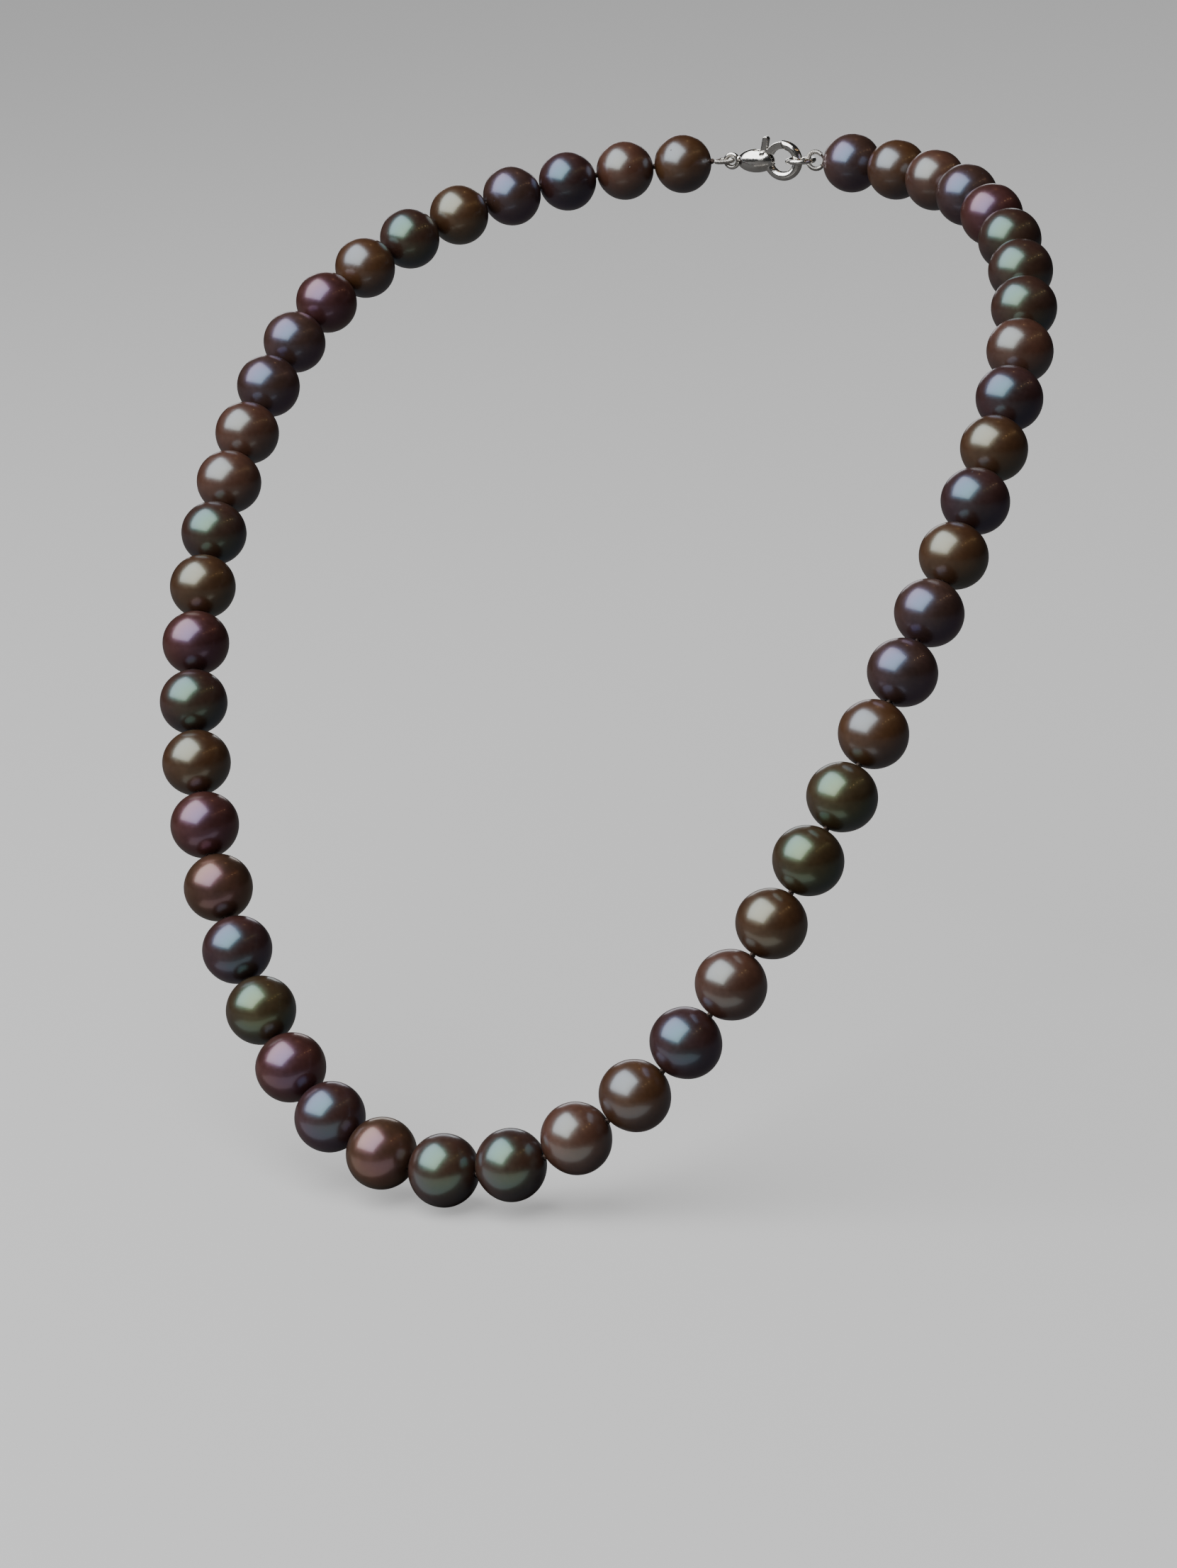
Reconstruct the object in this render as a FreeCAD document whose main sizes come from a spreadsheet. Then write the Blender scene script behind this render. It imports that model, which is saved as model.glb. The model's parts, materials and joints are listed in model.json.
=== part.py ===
import FreeCAD, Part
import math
import os
import Sketcher
from FreeCAD import Placement, Rotation, Vector

# A graduated pearl necklace with a small lobster clasp, in millimetres, as it lies on a neck.
# +Z is up, the front of the necklace faces -Y, and "left" is -X, as seen from the front.
# The origin is the middle of the neck, level with the nape.
# A pearl is threaded on a straight run of silk from one knot to the next, so the strand bends
# at its knots only. Pearls, runs and knots are numbered outwards from the centre pearl, which
# is 0. The first DROP_STEPS pearls of each side hang on the chest and lift; the rest lie
# round the neck.

PEARLS_PER_SIDE = 24
DROP_STEPS = 12

DIMENSIONS = {
    "centre_pearl_width": 9.6,      # across the drill hole
    "last_pearl_width": 8.7,
    "roundness": 0.97,              # a pearl's length along its hole, as a share of its width
    "pearl_gap": 0.2,               # between neighbouring pearls, filled by the knot
    "drill_diameter": 0.8,
    "knot_seat_diameter": 1.2,      # the hole's mouths are opened to take half a knot
    "silk_diameter": 0.6,
    "knot_diameter": 1.0,
    "knot_clearance": 0.08,         # from a knot to the run of silk that turns about it
    "gimp_loop_radius": 1.25,       # the wire coil that guards the silk at each end
    "gimp_wire_radius": 0.35,
    "gimp_bore_radius": 0.24,
    "end_silk_radius": 0.2,
    "gimp_open_degrees": 80,
    "hook_radius": 2.3,             # the clasp's hook, to the middle of its wire
    "hook_wire_radius": 0.7,
    "housing_half_length": 3.0,
    "housing_half_depth": 1.3,
    "housing_half_height": 1.75,
    "eye_radius": 0.95,
    "eye_wire_radius": 0.35,
    "lever_width": 1.0,
    "lever_slot_width": 1.1,
    "lever_inner_radius": 1.75,
    "lever_outer_radius": 2.85,
    "lever_heel_radius": 0.75,
    "lever_reach": 3.4,             # from the pin to the lever's tip
    "lever_tip_gap": 0.08,
    "pin_diameter": 0.7,
    "pin_clearance": 0.03,
    "pin_length": 1.8,
    "ring_radius": 1.9,             # the jump ring that the hook holds
    "ring_wire_radius": 0.38,
    "spring_leaf": 0.12,
    "spring_width": 0.8,
}

# Half of the strand's centre line, from the middle of the front to the middle of the nape.
HALF_ROUTE = [
    (0.0, -76.0, -111.0),
    (17.7, -72.7, -106.2),
    (30.5, -65.4, -94.7),
    (43.6, -53.0, -73.3),
    (51.5, -37.1, -52.4),
    (55.6, -10.1, -28.8),
    (53.1, 12.0, -14.0),
    (41.6, 33.6, -4.8),
    (22.8, 49.6, -0.9),
    (0.0, 55.0, 0.0),
]

# Along the clasp, from the middle of the nape: the places of its parts on the X axis.
LEFT_GIMP_X = -7.35
EYE_X = -6.1
HOUSING_X = -2.2
HOOK_X = 2.0
RING_X = 4.75
RIGHT_GIMP_X = 7.1
CLASP_SET_BACK = 0.3                # the clasp's line, behind the end knots
PIVOT = (-1.0, 1.1)                 # the lever's pin: along X, and up
HOOK_FROM_DEGREES = -178            # the hook's wire runs from the housing round to its tip
HOOK_TO_DEGREES = 95
LEVER_TIP_DEGREES = 74
LEVER_ROOT_DEGREES = 152
SLOT_FLOOR = -0.35                  # the lever's slot, up from the clasp's line
SLOT_BACK_X = -2.3
SLOT_FRONT_X = 1.6
SLOT_HEIGHT = 4.0                   # taller than the housing, so the slot is open above
TIP_ROOM_X = 0.5                    # where the lever's tip swings past the hook's end
TIP_ROOM_Z = 1.2
TIP_ROOM_SIZE = 4.0
THROUGH = 6.0                       # a tool this long goes right through the clasp
SPRING_X = -1.5                     # the fold of the lever's spring
SPRING_LENGTH = 1.5
SPRING_OPEN_DEGREES = 22
TAB_LENGTH = 2.1
TAB_THICKNESS = 0.9
TAB_LEAN_DEGREES = 14

# How far round a pearl's section each arc is drawn, before its constraints settle it.
CROWN_ARC = math.radians(86)
SEAT_ARC_START = math.radians(-48)
SEAT_ARC_END = math.radians(5)
DRAWN_SIZE = 1.0
BISECTIONS = 60

doc = FreeCAD.newDocument("pearl_necklace")
sheet = doc.addObject("Spreadsheet::Sheet", "Sheet")
kept = []


def fill_sheet():
    """Write the driving dimensions, one named cell each."""
    for row, (name, value) in enumerate(DIMENSIONS.items(), start=1):
        sheet.set(f"A{row}", name)
        sheet.set(f"B{row}", str(value))
        sheet.setAlias(f"B{row}", name)
    doc.recompute()


def bind(thing, **sizes):
    """Tie properties of an object to the sheet, each by an expression."""
    for name, text in sizes.items():
        thing.setExpression(name, text)
    return thing


def keep(thing, label):
    """Give a finished sub-part its name, which is also its file's."""
    thing.Label = label
    kept.append(thing)
    return thing


def add(kind, name, placement=None, **sizes):
    """Add a primitive whose sizes come from the sheet."""
    thing = doc.addObject(kind, name)
    bind(thing, **sizes)
    if placement is not None:
        thing.Placement = placement
    return thing


def fuse(name, shapes):
    """Join primitives into one sub-part."""
    thing = doc.addObject("Part::MultiFuse", name)
    thing.Shapes = shapes
    return thing


def cut(name, base, tool):
    """Take one solid out of another."""
    thing = doc.addObject("Part::Cut", name)
    thing.Base = base
    thing.Tool = tool
    return thing


def mirrored(point):
    """The same place on the other side of the necklace."""
    return Vector(-point.x, point.y, point.z)


def along(start, direction):
    """A placement at start, with the piece's own Z along direction."""
    return Placement(start, Rotation(Vector(0, 0, 1), direction))


# ---- the strand's knots -------------------------------------------------------------------

def pearl_width(number):
    """Width of a pearl, which falls evenly from the centre to the clasp."""
    fall = sheet.centre_pearl_width - sheet.last_pearl_width
    return sheet.centre_pearl_width - fall * number / PEARLS_PER_SIDE


def run_length(number):
    """Distance between the two knots of a pearl."""
    return sheet.roundness * pearl_width(number) + sheet.pearl_gap


def centre_line():
    """The whole strand as one smooth curve, left nape to right nape."""
    right = [Vector(*point) for point in HALF_ROUTE]
    left = [mirrored(point) for point in reversed(right)]
    curve = Part.BSplineCurve()
    curve.interpolate(left[:-1] + right)
    return curve


def step_along(curve, start, length):
    """The parameter where the curve is a straight distance away from its point at start."""
    here = curve.value(start)
    near, far = start, curve.LastParameter
    for _ in range(BISECTIONS):
        middle = 0.5 * (near + far)
        if curve.value(middle).distanceToPoint(here) < length:
            near = middle
        else:
            far = middle
    return middle


def knot_points():
    """The right side's knots: number 0 is between the centre pearl and pearl 1."""
    curve = centre_line()
    place = curve.parameter(Vector(*HALF_ROUTE[0]))
    place = step_along(curve, place, 0.5 * run_length(0))
    knots = [curve.value(place)]
    for number in range(1, PEARLS_PER_SIDE + 1):
        place = step_along(curve, place, run_length(number))
        knots.append(curve.value(place))
    return knots


# ---- pearls -------------------------------------------------------------------------------

def width_text(number):
    """The sheet's expression for a pearl's width."""
    fall = "(Sheet.centre_pearl_width - Sheet.last_pearl_width)"
    return f"(Sheet.centre_pearl_width - {fall} * {number} / {PEARLS_PER_SIDE})"


def origin_plane(body, role):
    """One of a body's own origin planes or axes."""
    return next(item for item in body.Origin.OriginFeatures if item.Role == role)


def pearl_profile(body, number):
    """Half a pearl's section: crown, two knot seats and drill hole, on the XZ plane."""
    half_width = 0.5 * pearl_width(number)
    half_length = sheet.roundness * half_width
    seat_height = half_length + 0.5 * sheet.pearl_gap
    crown_offset = (half_width ** 2 - half_length ** 2) / (2 * half_width)
    sketch = body.newObject("Sketcher::SketchObject", f"profile_{body.Name}")
    sketch.AttachmentSupport = [(origin_plane(body, "XZ_Plane"), "")]
    sketch.MapMode = "FlatFace"
    axis = Vector(0, 0, 1)
    seat = 0.5 * sheet.knot_seat_diameter
    drill = 0.5 * sheet.drill_diameter
    crown = Part.Circle(Vector(crown_offset, 0, 0), axis, half_width - crown_offset)
    low = Part.Circle(Vector(0, -seat_height, 0), axis, seat)
    high = Part.Circle(Vector(0, seat_height, 0), axis, seat)
    bore_end = seat_height - math.sqrt(seat ** 2 - drill ** 2)
    sketch.addGeometry(Part.ArcOfCircle(crown, -CROWN_ARC, CROWN_ARC))
    sketch.addGeometry(Part.ArcOfCircle(high, SEAT_ARC_START, SEAT_ARC_END))
    sketch.addGeometry(Part.ArcOfCircle(low, -SEAT_ARC_END, -SEAT_ARC_START))
    sketch.addGeometry(Part.LineSegment(Vector(drill, -bore_end, 0), Vector(drill, bore_end, 0)))
    return sketch


def constrain_profile(sketch, number):
    """Hold the pearl's section to the sheet."""
    rule = Sketcher.Constraint
    crown, high, low, bore = 0, 1, 2, 3
    start, finish, centre = 1, 2, 3
    origin, across, up = -1, -1, -2
    for parts in (
        ("Coincident", crown, finish, high, finish),
        ("Coincident", high, start, bore, finish),
        ("Coincident", bore, start, low, finish),
        ("Coincident", low, start, crown, start),
        ("PointOnObject", crown, centre, across),
        ("PointOnObject", high, centre, up),
        ("PointOnObject", low, centre, up),
        ("Vertical", bore),
    ):
        sketch.addConstraint(rule(*parts))
    half_width = f"({width_text(number)} / 2)"
    half_length = f"(Sheet.roundness * {half_width})"
    offset = f"(({half_width} ^ 2 - {half_length} ^ 2) / (2 * {half_width}))"
    seat_height = f"({half_length} + Sheet.pearl_gap / 2)"
    seat_radius = "Sheet.knot_seat_diameter / 2"
    bore_radius = "Sheet.drill_diameter / 2"
    measures = (
        ("crown_offset", ("DistanceX", origin, start, crown, centre), offset),
        ("crown_radius", ("Radius", crown), f"{half_width} - {offset}"),
        ("high_seat", ("DistanceY", origin, start, high, centre), seat_height),
        ("low_seat", ("DistanceY", low, centre, origin, start), seat_height),
        ("high_radius", ("Radius", high), seat_radius),
        ("low_radius", ("Radius", low), seat_radius),
        ("bore_radius", ("DistanceX", origin, start, bore, start), bore_radius),
    )
    for name, parts, text in measures:
        index = sketch.addConstraint(rule(*parts, DRAWN_SIZE))
        sketch.renameConstraint(index, name)
        sketch.setExpression(f"Constraints.{name}", text)


def pearl(name, number, start, end):
    """One drilled pearl, turned about its hole, on the run of silk between two knots."""
    body = doc.addObject("PartDesign::Body", name)
    sketch = pearl_profile(body, number)
    constrain_profile(sketch, number)
    turned = body.newObject("PartDesign::Revolution", f"turned_{name}")
    turned.Profile = sketch
    turned.ReferenceAxis = (sketch, ["V_Axis"])
    turned.Angle = 360
    body.Placement = along((start + end) * 0.5, end - start)
    return body


def build_pearls(knots):
    """The centre pearl, the drop's pearls one by one, and the neck's in matched pairs."""
    keep(pearl("pearl_centre", 0, mirrored(knots[0]), knots[0]), "pearl_centre")
    for number in range(1, PEARLS_PER_SIDE + 1):
        ends = knots[number - 1], knots[number]
        mirror_ends = [mirrored(point) for point in ends]
        left = pearl(f"pearl_left_{number:02d}", number, *mirror_ends)
        right = pearl(f"pearl_right_{number:02d}", number, *ends)
        if number <= DROP_STEPS:
            keep(left, left.Name)
            keep(right, right.Name)
        else:
            pair = doc.addObject("Part::Compound", f"pearl_pair_{number:02d}")
            pair.Links = [left, right]
            keep(pair, pair.Name)


# ---- silk ---------------------------------------------------------------------------------

def thread(name, start, end):
    """A straight run of silk."""
    run = add("Part::Cylinder", name, along(start, end - start), Radius="Sheet.silk_diameter / 2")
    run.Height = start.distanceToPoint(end)
    return run


def knot(name, point, way):
    """A tight overhand knot, as a ball whose poles lie on the silk, along way."""
    return add("Part::Sphere", name, along(point, way), Radius="Sheet.knot_diameter / 2")


def short_of(point, neighbour):
    """Where a run of silk stops so that it can turn about a knot that it isn't fixed to."""
    gap = 0.5 * sheet.knot_diameter + sheet.knot_clearance
    return point + (neighbour - point).normalize() * gap


def build_drop_silk(knots):
    """Each step of the drop holds the knots at its lower end."""
    left, right = mirrored(knots[0]), knots[0]
    keep(thread("silk_centre", short_of(left, right), short_of(right, left)), "silk_centre")
    for number in range(1, DROP_STEPS + 1):
        pieces = []
        for side, turn in (("left", mirrored), ("right", Vector)):
            low, high = turn(knots[number - 1]), turn(knots[number])
            pieces.append(thread(f"run_{side}_{number:02d}", low, short_of(high, low)))
            pieces.append(knot(f"knot_{side}_{number:02d}", low, high - low))
        name = f"silk_pair_{number:02d}"
        keep(fuse(name, pieces), name)


def build_neck_silk(knots):
    """The silk round the neck, from the last hinge knots to the loops in the gimp."""
    pieces = []
    for side, turn in (("left", mirrored), ("right", Vector)):
        for number in range(DROP_STEPS, PEARLS_PER_SIDE + 1):
            before, here = turn(knots[number - 1]), turn(knots[number])
            after = turn(knots[min(number + 1, PEARLS_PER_SIDE)])
            pieces.append(knot(f"neck_knot_{side}_{number}", here, after - before))
            if number > DROP_STEPS:
                pieces.append(thread(f"neck_run_{side}_{number}", before, here))
        loop_place = gimp_place(side, knots)
        reach = sheet.gimp_loop_radius * (-1 if side == "left" else 1)
        loop_start = loop_place.Base + Vector(reach, 0, 0)
        pieces.append(thread(f"neck_tie_{side}", turn(knots[-1]), loop_start))
        pieces.append(add("Part::Torus", f"end_loop_{side}", loop_place,
                          Radius1="Sheet.gimp_loop_radius", Radius2="Sheet.end_silk_radius"))
    keep(fuse("silk_neck", pieces), "silk_neck")


# ---- gimp and clasp -----------------------------------------------------------------------

def clasp_point(knots, x, height=0.0):
    """A place on the clasp, which lies along X behind the two end knots."""
    return Vector(x, knots[-1].y + CLASP_SET_BACK, knots[-1].z + height)


def gimp_place(side, knots):
    """The left loop lies flat to pass the clasp's eye, the right one stands to pass the ring."""
    if side == "left":
        return Placement(clasp_point(knots, LEFT_GIMP_X), Rotation(Vector(0, 0, 1), 180))
    return Placement(clasp_point(knots, RIGHT_GIMP_X), Rotation(Vector(1, 0, 0), 90))


def build_gimp(knots):
    """A wire coil round each end loop of the silk, as a plain tube, open towards its knot."""
    for side in ("left", "right"):
        place = gimp_place(side, knots)
        open_half = Rotation(Vector(0, 0, 1), sheet.gimp_open_degrees / 2)
        turned = Placement(place.Base, place.Rotation.multiply(open_half))
        outer = add("Part::Torus", f"gimp_outer_{side}", turned, Radius1="Sheet.gimp_loop_radius",
                    Radius2="Sheet.gimp_wire_radius", Angle3="360 - Sheet.gimp_open_degrees")
        inner = add("Part::Torus", f"gimp_inner_{side}", place, Radius1="Sheet.gimp_loop_radius",
                    Radius2="Sheet.gimp_bore_radius")
        keep(cut(f"gimp_{side}", outer, inner), f"gimp_{side}")


def upright(base, degrees=0.0):
    """A placement whose own Z runs towards the front, turned about it from the X axis up."""
    stand = Rotation(Vector(1, 0, 0), 90)
    return Placement(base, stand.multiply(Rotation(Vector(0, 0, 1), degrees)))


def crosswise(kind, name, base, width, degrees=0.0, **sizes):
    """A cylinder that runs front to back, centred on base."""
    place = upright(base, degrees)
    place.Base = base + Vector(0, width / 2, 0)
    return add(kind, name, place, **sizes)


def build_clasp_body(knots):
    """Hook, housing and eye in one casting, slotted for the lever and drilled for its pin."""
    hook = add("Part::Torus", "hook", upright(clasp_point(knots, HOOK_X), HOOK_FROM_DEGREES),
               Radius1="Sheet.hook_radius", Radius2="Sheet.hook_wire_radius")
    hook.Angle3 = HOOK_TO_DEGREES - HOOK_FROM_DEGREES
    pivot = clasp_point(knots, *PIVOT)
    sweep = crosswise("Part::Cylinder", "lever_sweep", pivot, THROUGH,
                      Radius="Sheet.lever_reach + Sheet.lever_tip_gap")
    sweep.Height = THROUGH
    above = add("Part::Box", "above_hook")
    above.Length = above.Height = TIP_ROOM_SIZE
    above.Width = THROUGH
    above_corner = clasp_point(knots, TIP_ROOM_X, TIP_ROOM_Z)
    above.Placement.Base = above_corner - Vector(0, THROUGH / 2, 0)
    tip_room = doc.addObject("Part::Common", "tip_room")
    tip_room.Base, tip_room.Tool = sweep, above
    trimmed_hook = cut("trimmed_hook", hook, tip_room)
    housing = add("Part::Ellipsoid", "housing", Radius1="Sheet.housing_half_height",
                  Radius2="Sheet.housing_half_length", Radius3="Sheet.housing_half_depth")
    housing.Placement.Base = clasp_point(knots, HOUSING_X)
    eye = add("Part::Torus", "eye", upright(clasp_point(knots, EYE_X)),
              Radius1="Sheet.eye_radius", Radius2="Sheet.eye_wire_radius")
    slot = add("Part::Box", "lever_slot", Width="Sheet.lever_slot_width")
    slot.Length = SLOT_FRONT_X - SLOT_BACK_X
    slot.Height = SLOT_HEIGHT
    slot_corner = clasp_point(knots, SLOT_BACK_X, SLOT_FLOOR)
    slot.Placement.Base = slot_corner - Vector(0, sheet.lever_slot_width / 2, 0)
    pin_hole = crosswise("Part::Cylinder", "pin_hole", pivot, THROUGH, Radius="Sheet.pin_diameter / 2")
    pin_hole.Height = THROUGH
    casting = fuse("casting", [housing, trimmed_hook, eye])
    tools = fuse("clasp_tools", [slot, pin_hole])
    keep(cut("clasp_body", casting, tools), "clasp_body")


def build_lever(knots):
    """The sprung gate: an arc that closes the hook, a heel on the pin and a thumb tab."""
    width = sheet.lever_width
    hook_centre = clasp_point(knots, HOOK_X)
    pivot = clasp_point(knots, *PIVOT)
    sweep = LEVER_ROOT_DEGREES - LEVER_TIP_DEGREES
    outer = crosswise("Part::Cylinder", "gate_outer", hook_centre, width, LEVER_TIP_DEGREES,
                      Radius="Sheet.lever_outer_radius", Height="Sheet.lever_width")
    outer.Angle = sweep
    inner = crosswise("Part::Cylinder", "gate_inner", hook_centre, width,
                      Radius="Sheet.lever_inner_radius", Height="Sheet.lever_width")
    reach = crosswise("Part::Cylinder", "gate_reach", pivot, width, Radius="Sheet.lever_reach",
                      Height="Sheet.lever_width")
    gate = doc.addObject("Part::Common", "gate")
    gate.Base, gate.Tool = cut("gate_arc", outer, inner), reach
    heel = crosswise("Part::Cylinder", "heel", pivot, width, Radius="Sheet.lever_heel_radius",
                     Height="Sheet.lever_width")
    tab = add("Part::Box", "tab", Width="Sheet.lever_width")
    tab.Length = TAB_THICKNESS
    tab.Height = TAB_LENGTH
    lean = Rotation(Vector(0, 1, 0), TAB_LEAN_DEGREES)
    tab.Placement = Placement(pivot + lean.multVec(Vector(-TAB_THICKNESS / 2, -width / 2, 0)), lean)
    thumb = crosswise("Part::Cylinder", "thumb", pivot + lean.multVec(Vector(0, 0, TAB_LENGTH)),
                      width, Height="Sheet.lever_width")
    thumb.Radius = TAB_THICKNESS / 2
    bore = crosswise("Part::Cylinder", "lever_bore", pivot, THROUGH,
                     Radius="Sheet.pin_diameter / 2 + Sheet.pin_clearance")
    bore.Height = THROUGH
    keep(cut("clasp_lever", fuse("lever_blank", [gate, heel, tab, thumb]), bore), "clasp_lever")


def build_pin_and_spring(knots):
    """The rivet pin, and a folded leaf spring in the floor of the slot under the lever."""
    pin = crosswise("Part::Cylinder", "lever_pin", clasp_point(knots, *PIVOT), sheet.pin_length,
                    Radius="Sheet.pin_diameter / 2", Height="Sheet.pin_length")
    keep(pin, "lever_pin")
    lower = add("Part::Box", "leaf_lower", Height="Sheet.spring_leaf", Width="Sheet.spring_width")
    upper = add("Part::Box", "leaf_upper", Height="Sheet.spring_leaf", Width="Sheet.spring_width")
    lower.Length = upper.Length = SPRING_LENGTH
    fold = clasp_point(knots, SPRING_X, SLOT_FLOOR) - Vector(0, sheet.spring_width / 2, 0)
    lower.Placement.Base = fold
    upper.Placement = Placement(fold, Rotation(Vector(0, 1, 0), -SPRING_OPEN_DEGREES))
    keep(fuse("lever_spring", [lower, upper]), "lever_spring")


def build_ring(knots):
    """The jump ring on the right end, held in the hook."""
    ring = add("Part::Torus", "clasp_ring", Radius1="Sheet.ring_radius",
               Radius2="Sheet.ring_wire_radius")
    ring.Placement.Base = clasp_point(knots, RING_X)
    keep(ring, "clasp_ring")


# ---- write --------------------------------------------------------------------------------

def check_and_write():
    """Stop on any failed object; write each sub-part's shape to its own file."""
    doc.recompute()
    for thing in doc.Objects:
        if "Invalid" in thing.State or "Error" in thing.State:
            raise RuntimeError(f"{thing.Name} is {thing.State}")
    os.makedirs("parts", exist_ok=True)
    for thing in kept:
        shape = thing.Shape
        if shape.isNull() or not shape.isValid():
            raise RuntimeError(f"{thing.Label} has no valid shape")
        shape.exportStep(f"parts/{thing.Label}.step")
        print(f"{thing.Label}: {len(shape.Solids)} solid(s), {shape.Volume:.2f} mm3")


fill_sheet()
strand_knots = knot_points()
build_pearls(strand_knots)
build_drop_silk(strand_knots)
build_neck_silk(strand_knots)
build_gimp(strand_knots)
build_clasp_body(strand_knots)
build_lever(strand_knots)
build_pin_and_spring(strand_knots)
build_ring(strand_knots)
check_and_write()
for number, point in enumerate(strand_knots):
    print("knot", number, round(point.x, 3), round(point.y, 3), round(point.z, 3))
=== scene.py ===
"""A knotted pearl necklace in the shape it is worn: pearls, silk, wire coils and clasp."""
import sys

import json
import logging
import math
from dataclasses import dataclass, field, replace
from enum import Enum
from typing import Mapping, Sequence

import bmesh
import bpy
import numpy as np
from mathutils import Matrix, Vector


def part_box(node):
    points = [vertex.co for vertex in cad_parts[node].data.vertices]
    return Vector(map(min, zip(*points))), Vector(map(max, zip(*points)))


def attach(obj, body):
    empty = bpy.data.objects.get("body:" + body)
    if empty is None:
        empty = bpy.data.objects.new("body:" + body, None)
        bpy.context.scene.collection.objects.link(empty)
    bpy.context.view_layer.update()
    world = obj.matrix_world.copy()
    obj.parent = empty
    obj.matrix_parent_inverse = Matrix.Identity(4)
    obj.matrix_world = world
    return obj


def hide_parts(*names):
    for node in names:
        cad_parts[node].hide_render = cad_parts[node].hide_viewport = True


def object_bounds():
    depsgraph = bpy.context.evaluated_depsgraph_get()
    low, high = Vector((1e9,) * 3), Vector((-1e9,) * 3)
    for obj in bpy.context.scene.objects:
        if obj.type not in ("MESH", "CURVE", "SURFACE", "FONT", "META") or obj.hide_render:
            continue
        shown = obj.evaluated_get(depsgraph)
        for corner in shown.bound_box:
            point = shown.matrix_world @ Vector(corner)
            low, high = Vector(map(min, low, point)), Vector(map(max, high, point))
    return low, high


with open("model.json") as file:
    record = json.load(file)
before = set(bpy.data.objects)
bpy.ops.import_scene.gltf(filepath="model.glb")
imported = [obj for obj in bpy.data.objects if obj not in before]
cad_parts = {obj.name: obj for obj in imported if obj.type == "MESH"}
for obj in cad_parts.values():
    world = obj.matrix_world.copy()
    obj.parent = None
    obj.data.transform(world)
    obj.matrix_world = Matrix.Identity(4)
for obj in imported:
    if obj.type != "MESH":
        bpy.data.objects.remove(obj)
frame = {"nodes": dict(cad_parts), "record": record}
cad_low, cad_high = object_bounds()

LOG = logging.getLogger("necklace")
MM = 0.001
PER_METRE = 1000.0
PEARLS_PER_SIDE = 24
DROP_STEPS = 12
FULL_TURN = 2 * math.pi

Colour = tuple[float, float, float]
Socket = bpy.types.NodeSocket


# ---- finishes -----------------------------------------------------------------------------

@dataclass(frozen=True)
class NacreFinish:
    """The colouring of one kind of bronze pearl.

    Args:
        body: the colour that light takes up inside the pearl.
        deep: the darker colour of its thicker patches.
        overtone: the cast that drifts over it in clouds.
        film: thickness of the top nacre layer in nanometres, which tints the gloss.
        tint: the colour of the gloss itself.
    """

    body: Colour
    deep: Colour
    overtone: Colour
    film: float
    tint: Colour


class Nacre(Enum):
    """The kinds of pearl that the strand mixes; each value is also the record's slot."""

    PLUM_MINT = "nacre_plum_mint"
    PLUM_BLUE = "nacre_plum_blue"
    OLIVE_MINT = "nacre_olive_mint"
    OLIVE_CORAL = "nacre_olive_coral"
    BRONZE_CREAM = "nacre_bronze_cream"
    GOLDEN_LILAC = "nacre_golden_lilac"
    TAUPE_LILAC = "nacre_taupe_lilac"
    MAUVE_PINK = "nacre_mauve_pink"
    ROSE_SILVER = "nacre_rose_silver"


NACRE_FINISHES: Mapping[Nacre, NacreFinish] = {
    Nacre.PLUM_MINT: NacreFinish(
        body=(0.041, 0.015, 0.009), deep=(0.022, 0.007, 0.005),
        overtone=(0.050, 0.024, 0.018), film=286.0, tint=(0.98, 1.0, 0.97),
    ),
    Nacre.PLUM_BLUE: NacreFinish(
        body=(0.038, 0.013, 0.008), deep=(0.020, 0.007, 0.005),
        overtone=(0.046, 0.021, 0.020), film=264.0, tint=(0.95, 0.97, 1.0),
    ),
    Nacre.OLIVE_MINT: NacreFinish(
        body=(0.041, 0.020, 0.008), deep=(0.022, 0.010, 0.004),
        overtone=(0.050, 0.031, 0.016), film=296.0, tint=(1.0, 1.0, 0.95),
    ),
    Nacre.OLIVE_CORAL: NacreFinish(
        body=(0.043, 0.022, 0.011), deep=(0.023, 0.011, 0.007),
        overtone=(0.064, 0.028, 0.018), film=216.0, tint=(1.0, 0.93, 0.9),
    ),
    Nacre.BRONZE_CREAM: NacreFinish(
        body=(0.049, 0.019, 0.007), deep=(0.026, 0.010, 0.004),
        overtone=(0.062, 0.029, 0.013), film=152.0, tint=(1.0, 0.97, 0.93),
    ),
    Nacre.GOLDEN_LILAC: NacreFinish(
        body=(0.062, 0.025, 0.007), deep=(0.034, 0.012, 0.004),
        overtone=(0.070, 0.034, 0.014), film=134.0, tint=(1.0, 0.94, 0.98),
    ),
    Nacre.TAUPE_LILAC: NacreFinish(
        body=(0.043, 0.021, 0.012), deep=(0.023, 0.011, 0.007),
        overtone=(0.053, 0.028, 0.021), film=252.0, tint=(0.99, 0.97, 1.0),
    ),
    Nacre.MAUVE_PINK: NacreFinish(
        body=(0.046, 0.016, 0.011), deep=(0.024, 0.008, 0.006),
        overtone=(0.062, 0.023, 0.020), film=230.0, tint=(1.0, 0.95, 0.97),
    ),
    Nacre.ROSE_SILVER: NacreFinish(
        body=(0.067, 0.025, 0.014), deep=(0.037, 0.014, 0.008),
        overtone=(0.078, 0.035, 0.021), film=142.0, tint=(1.0, 0.97, 1.0),
    ),
}

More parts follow.
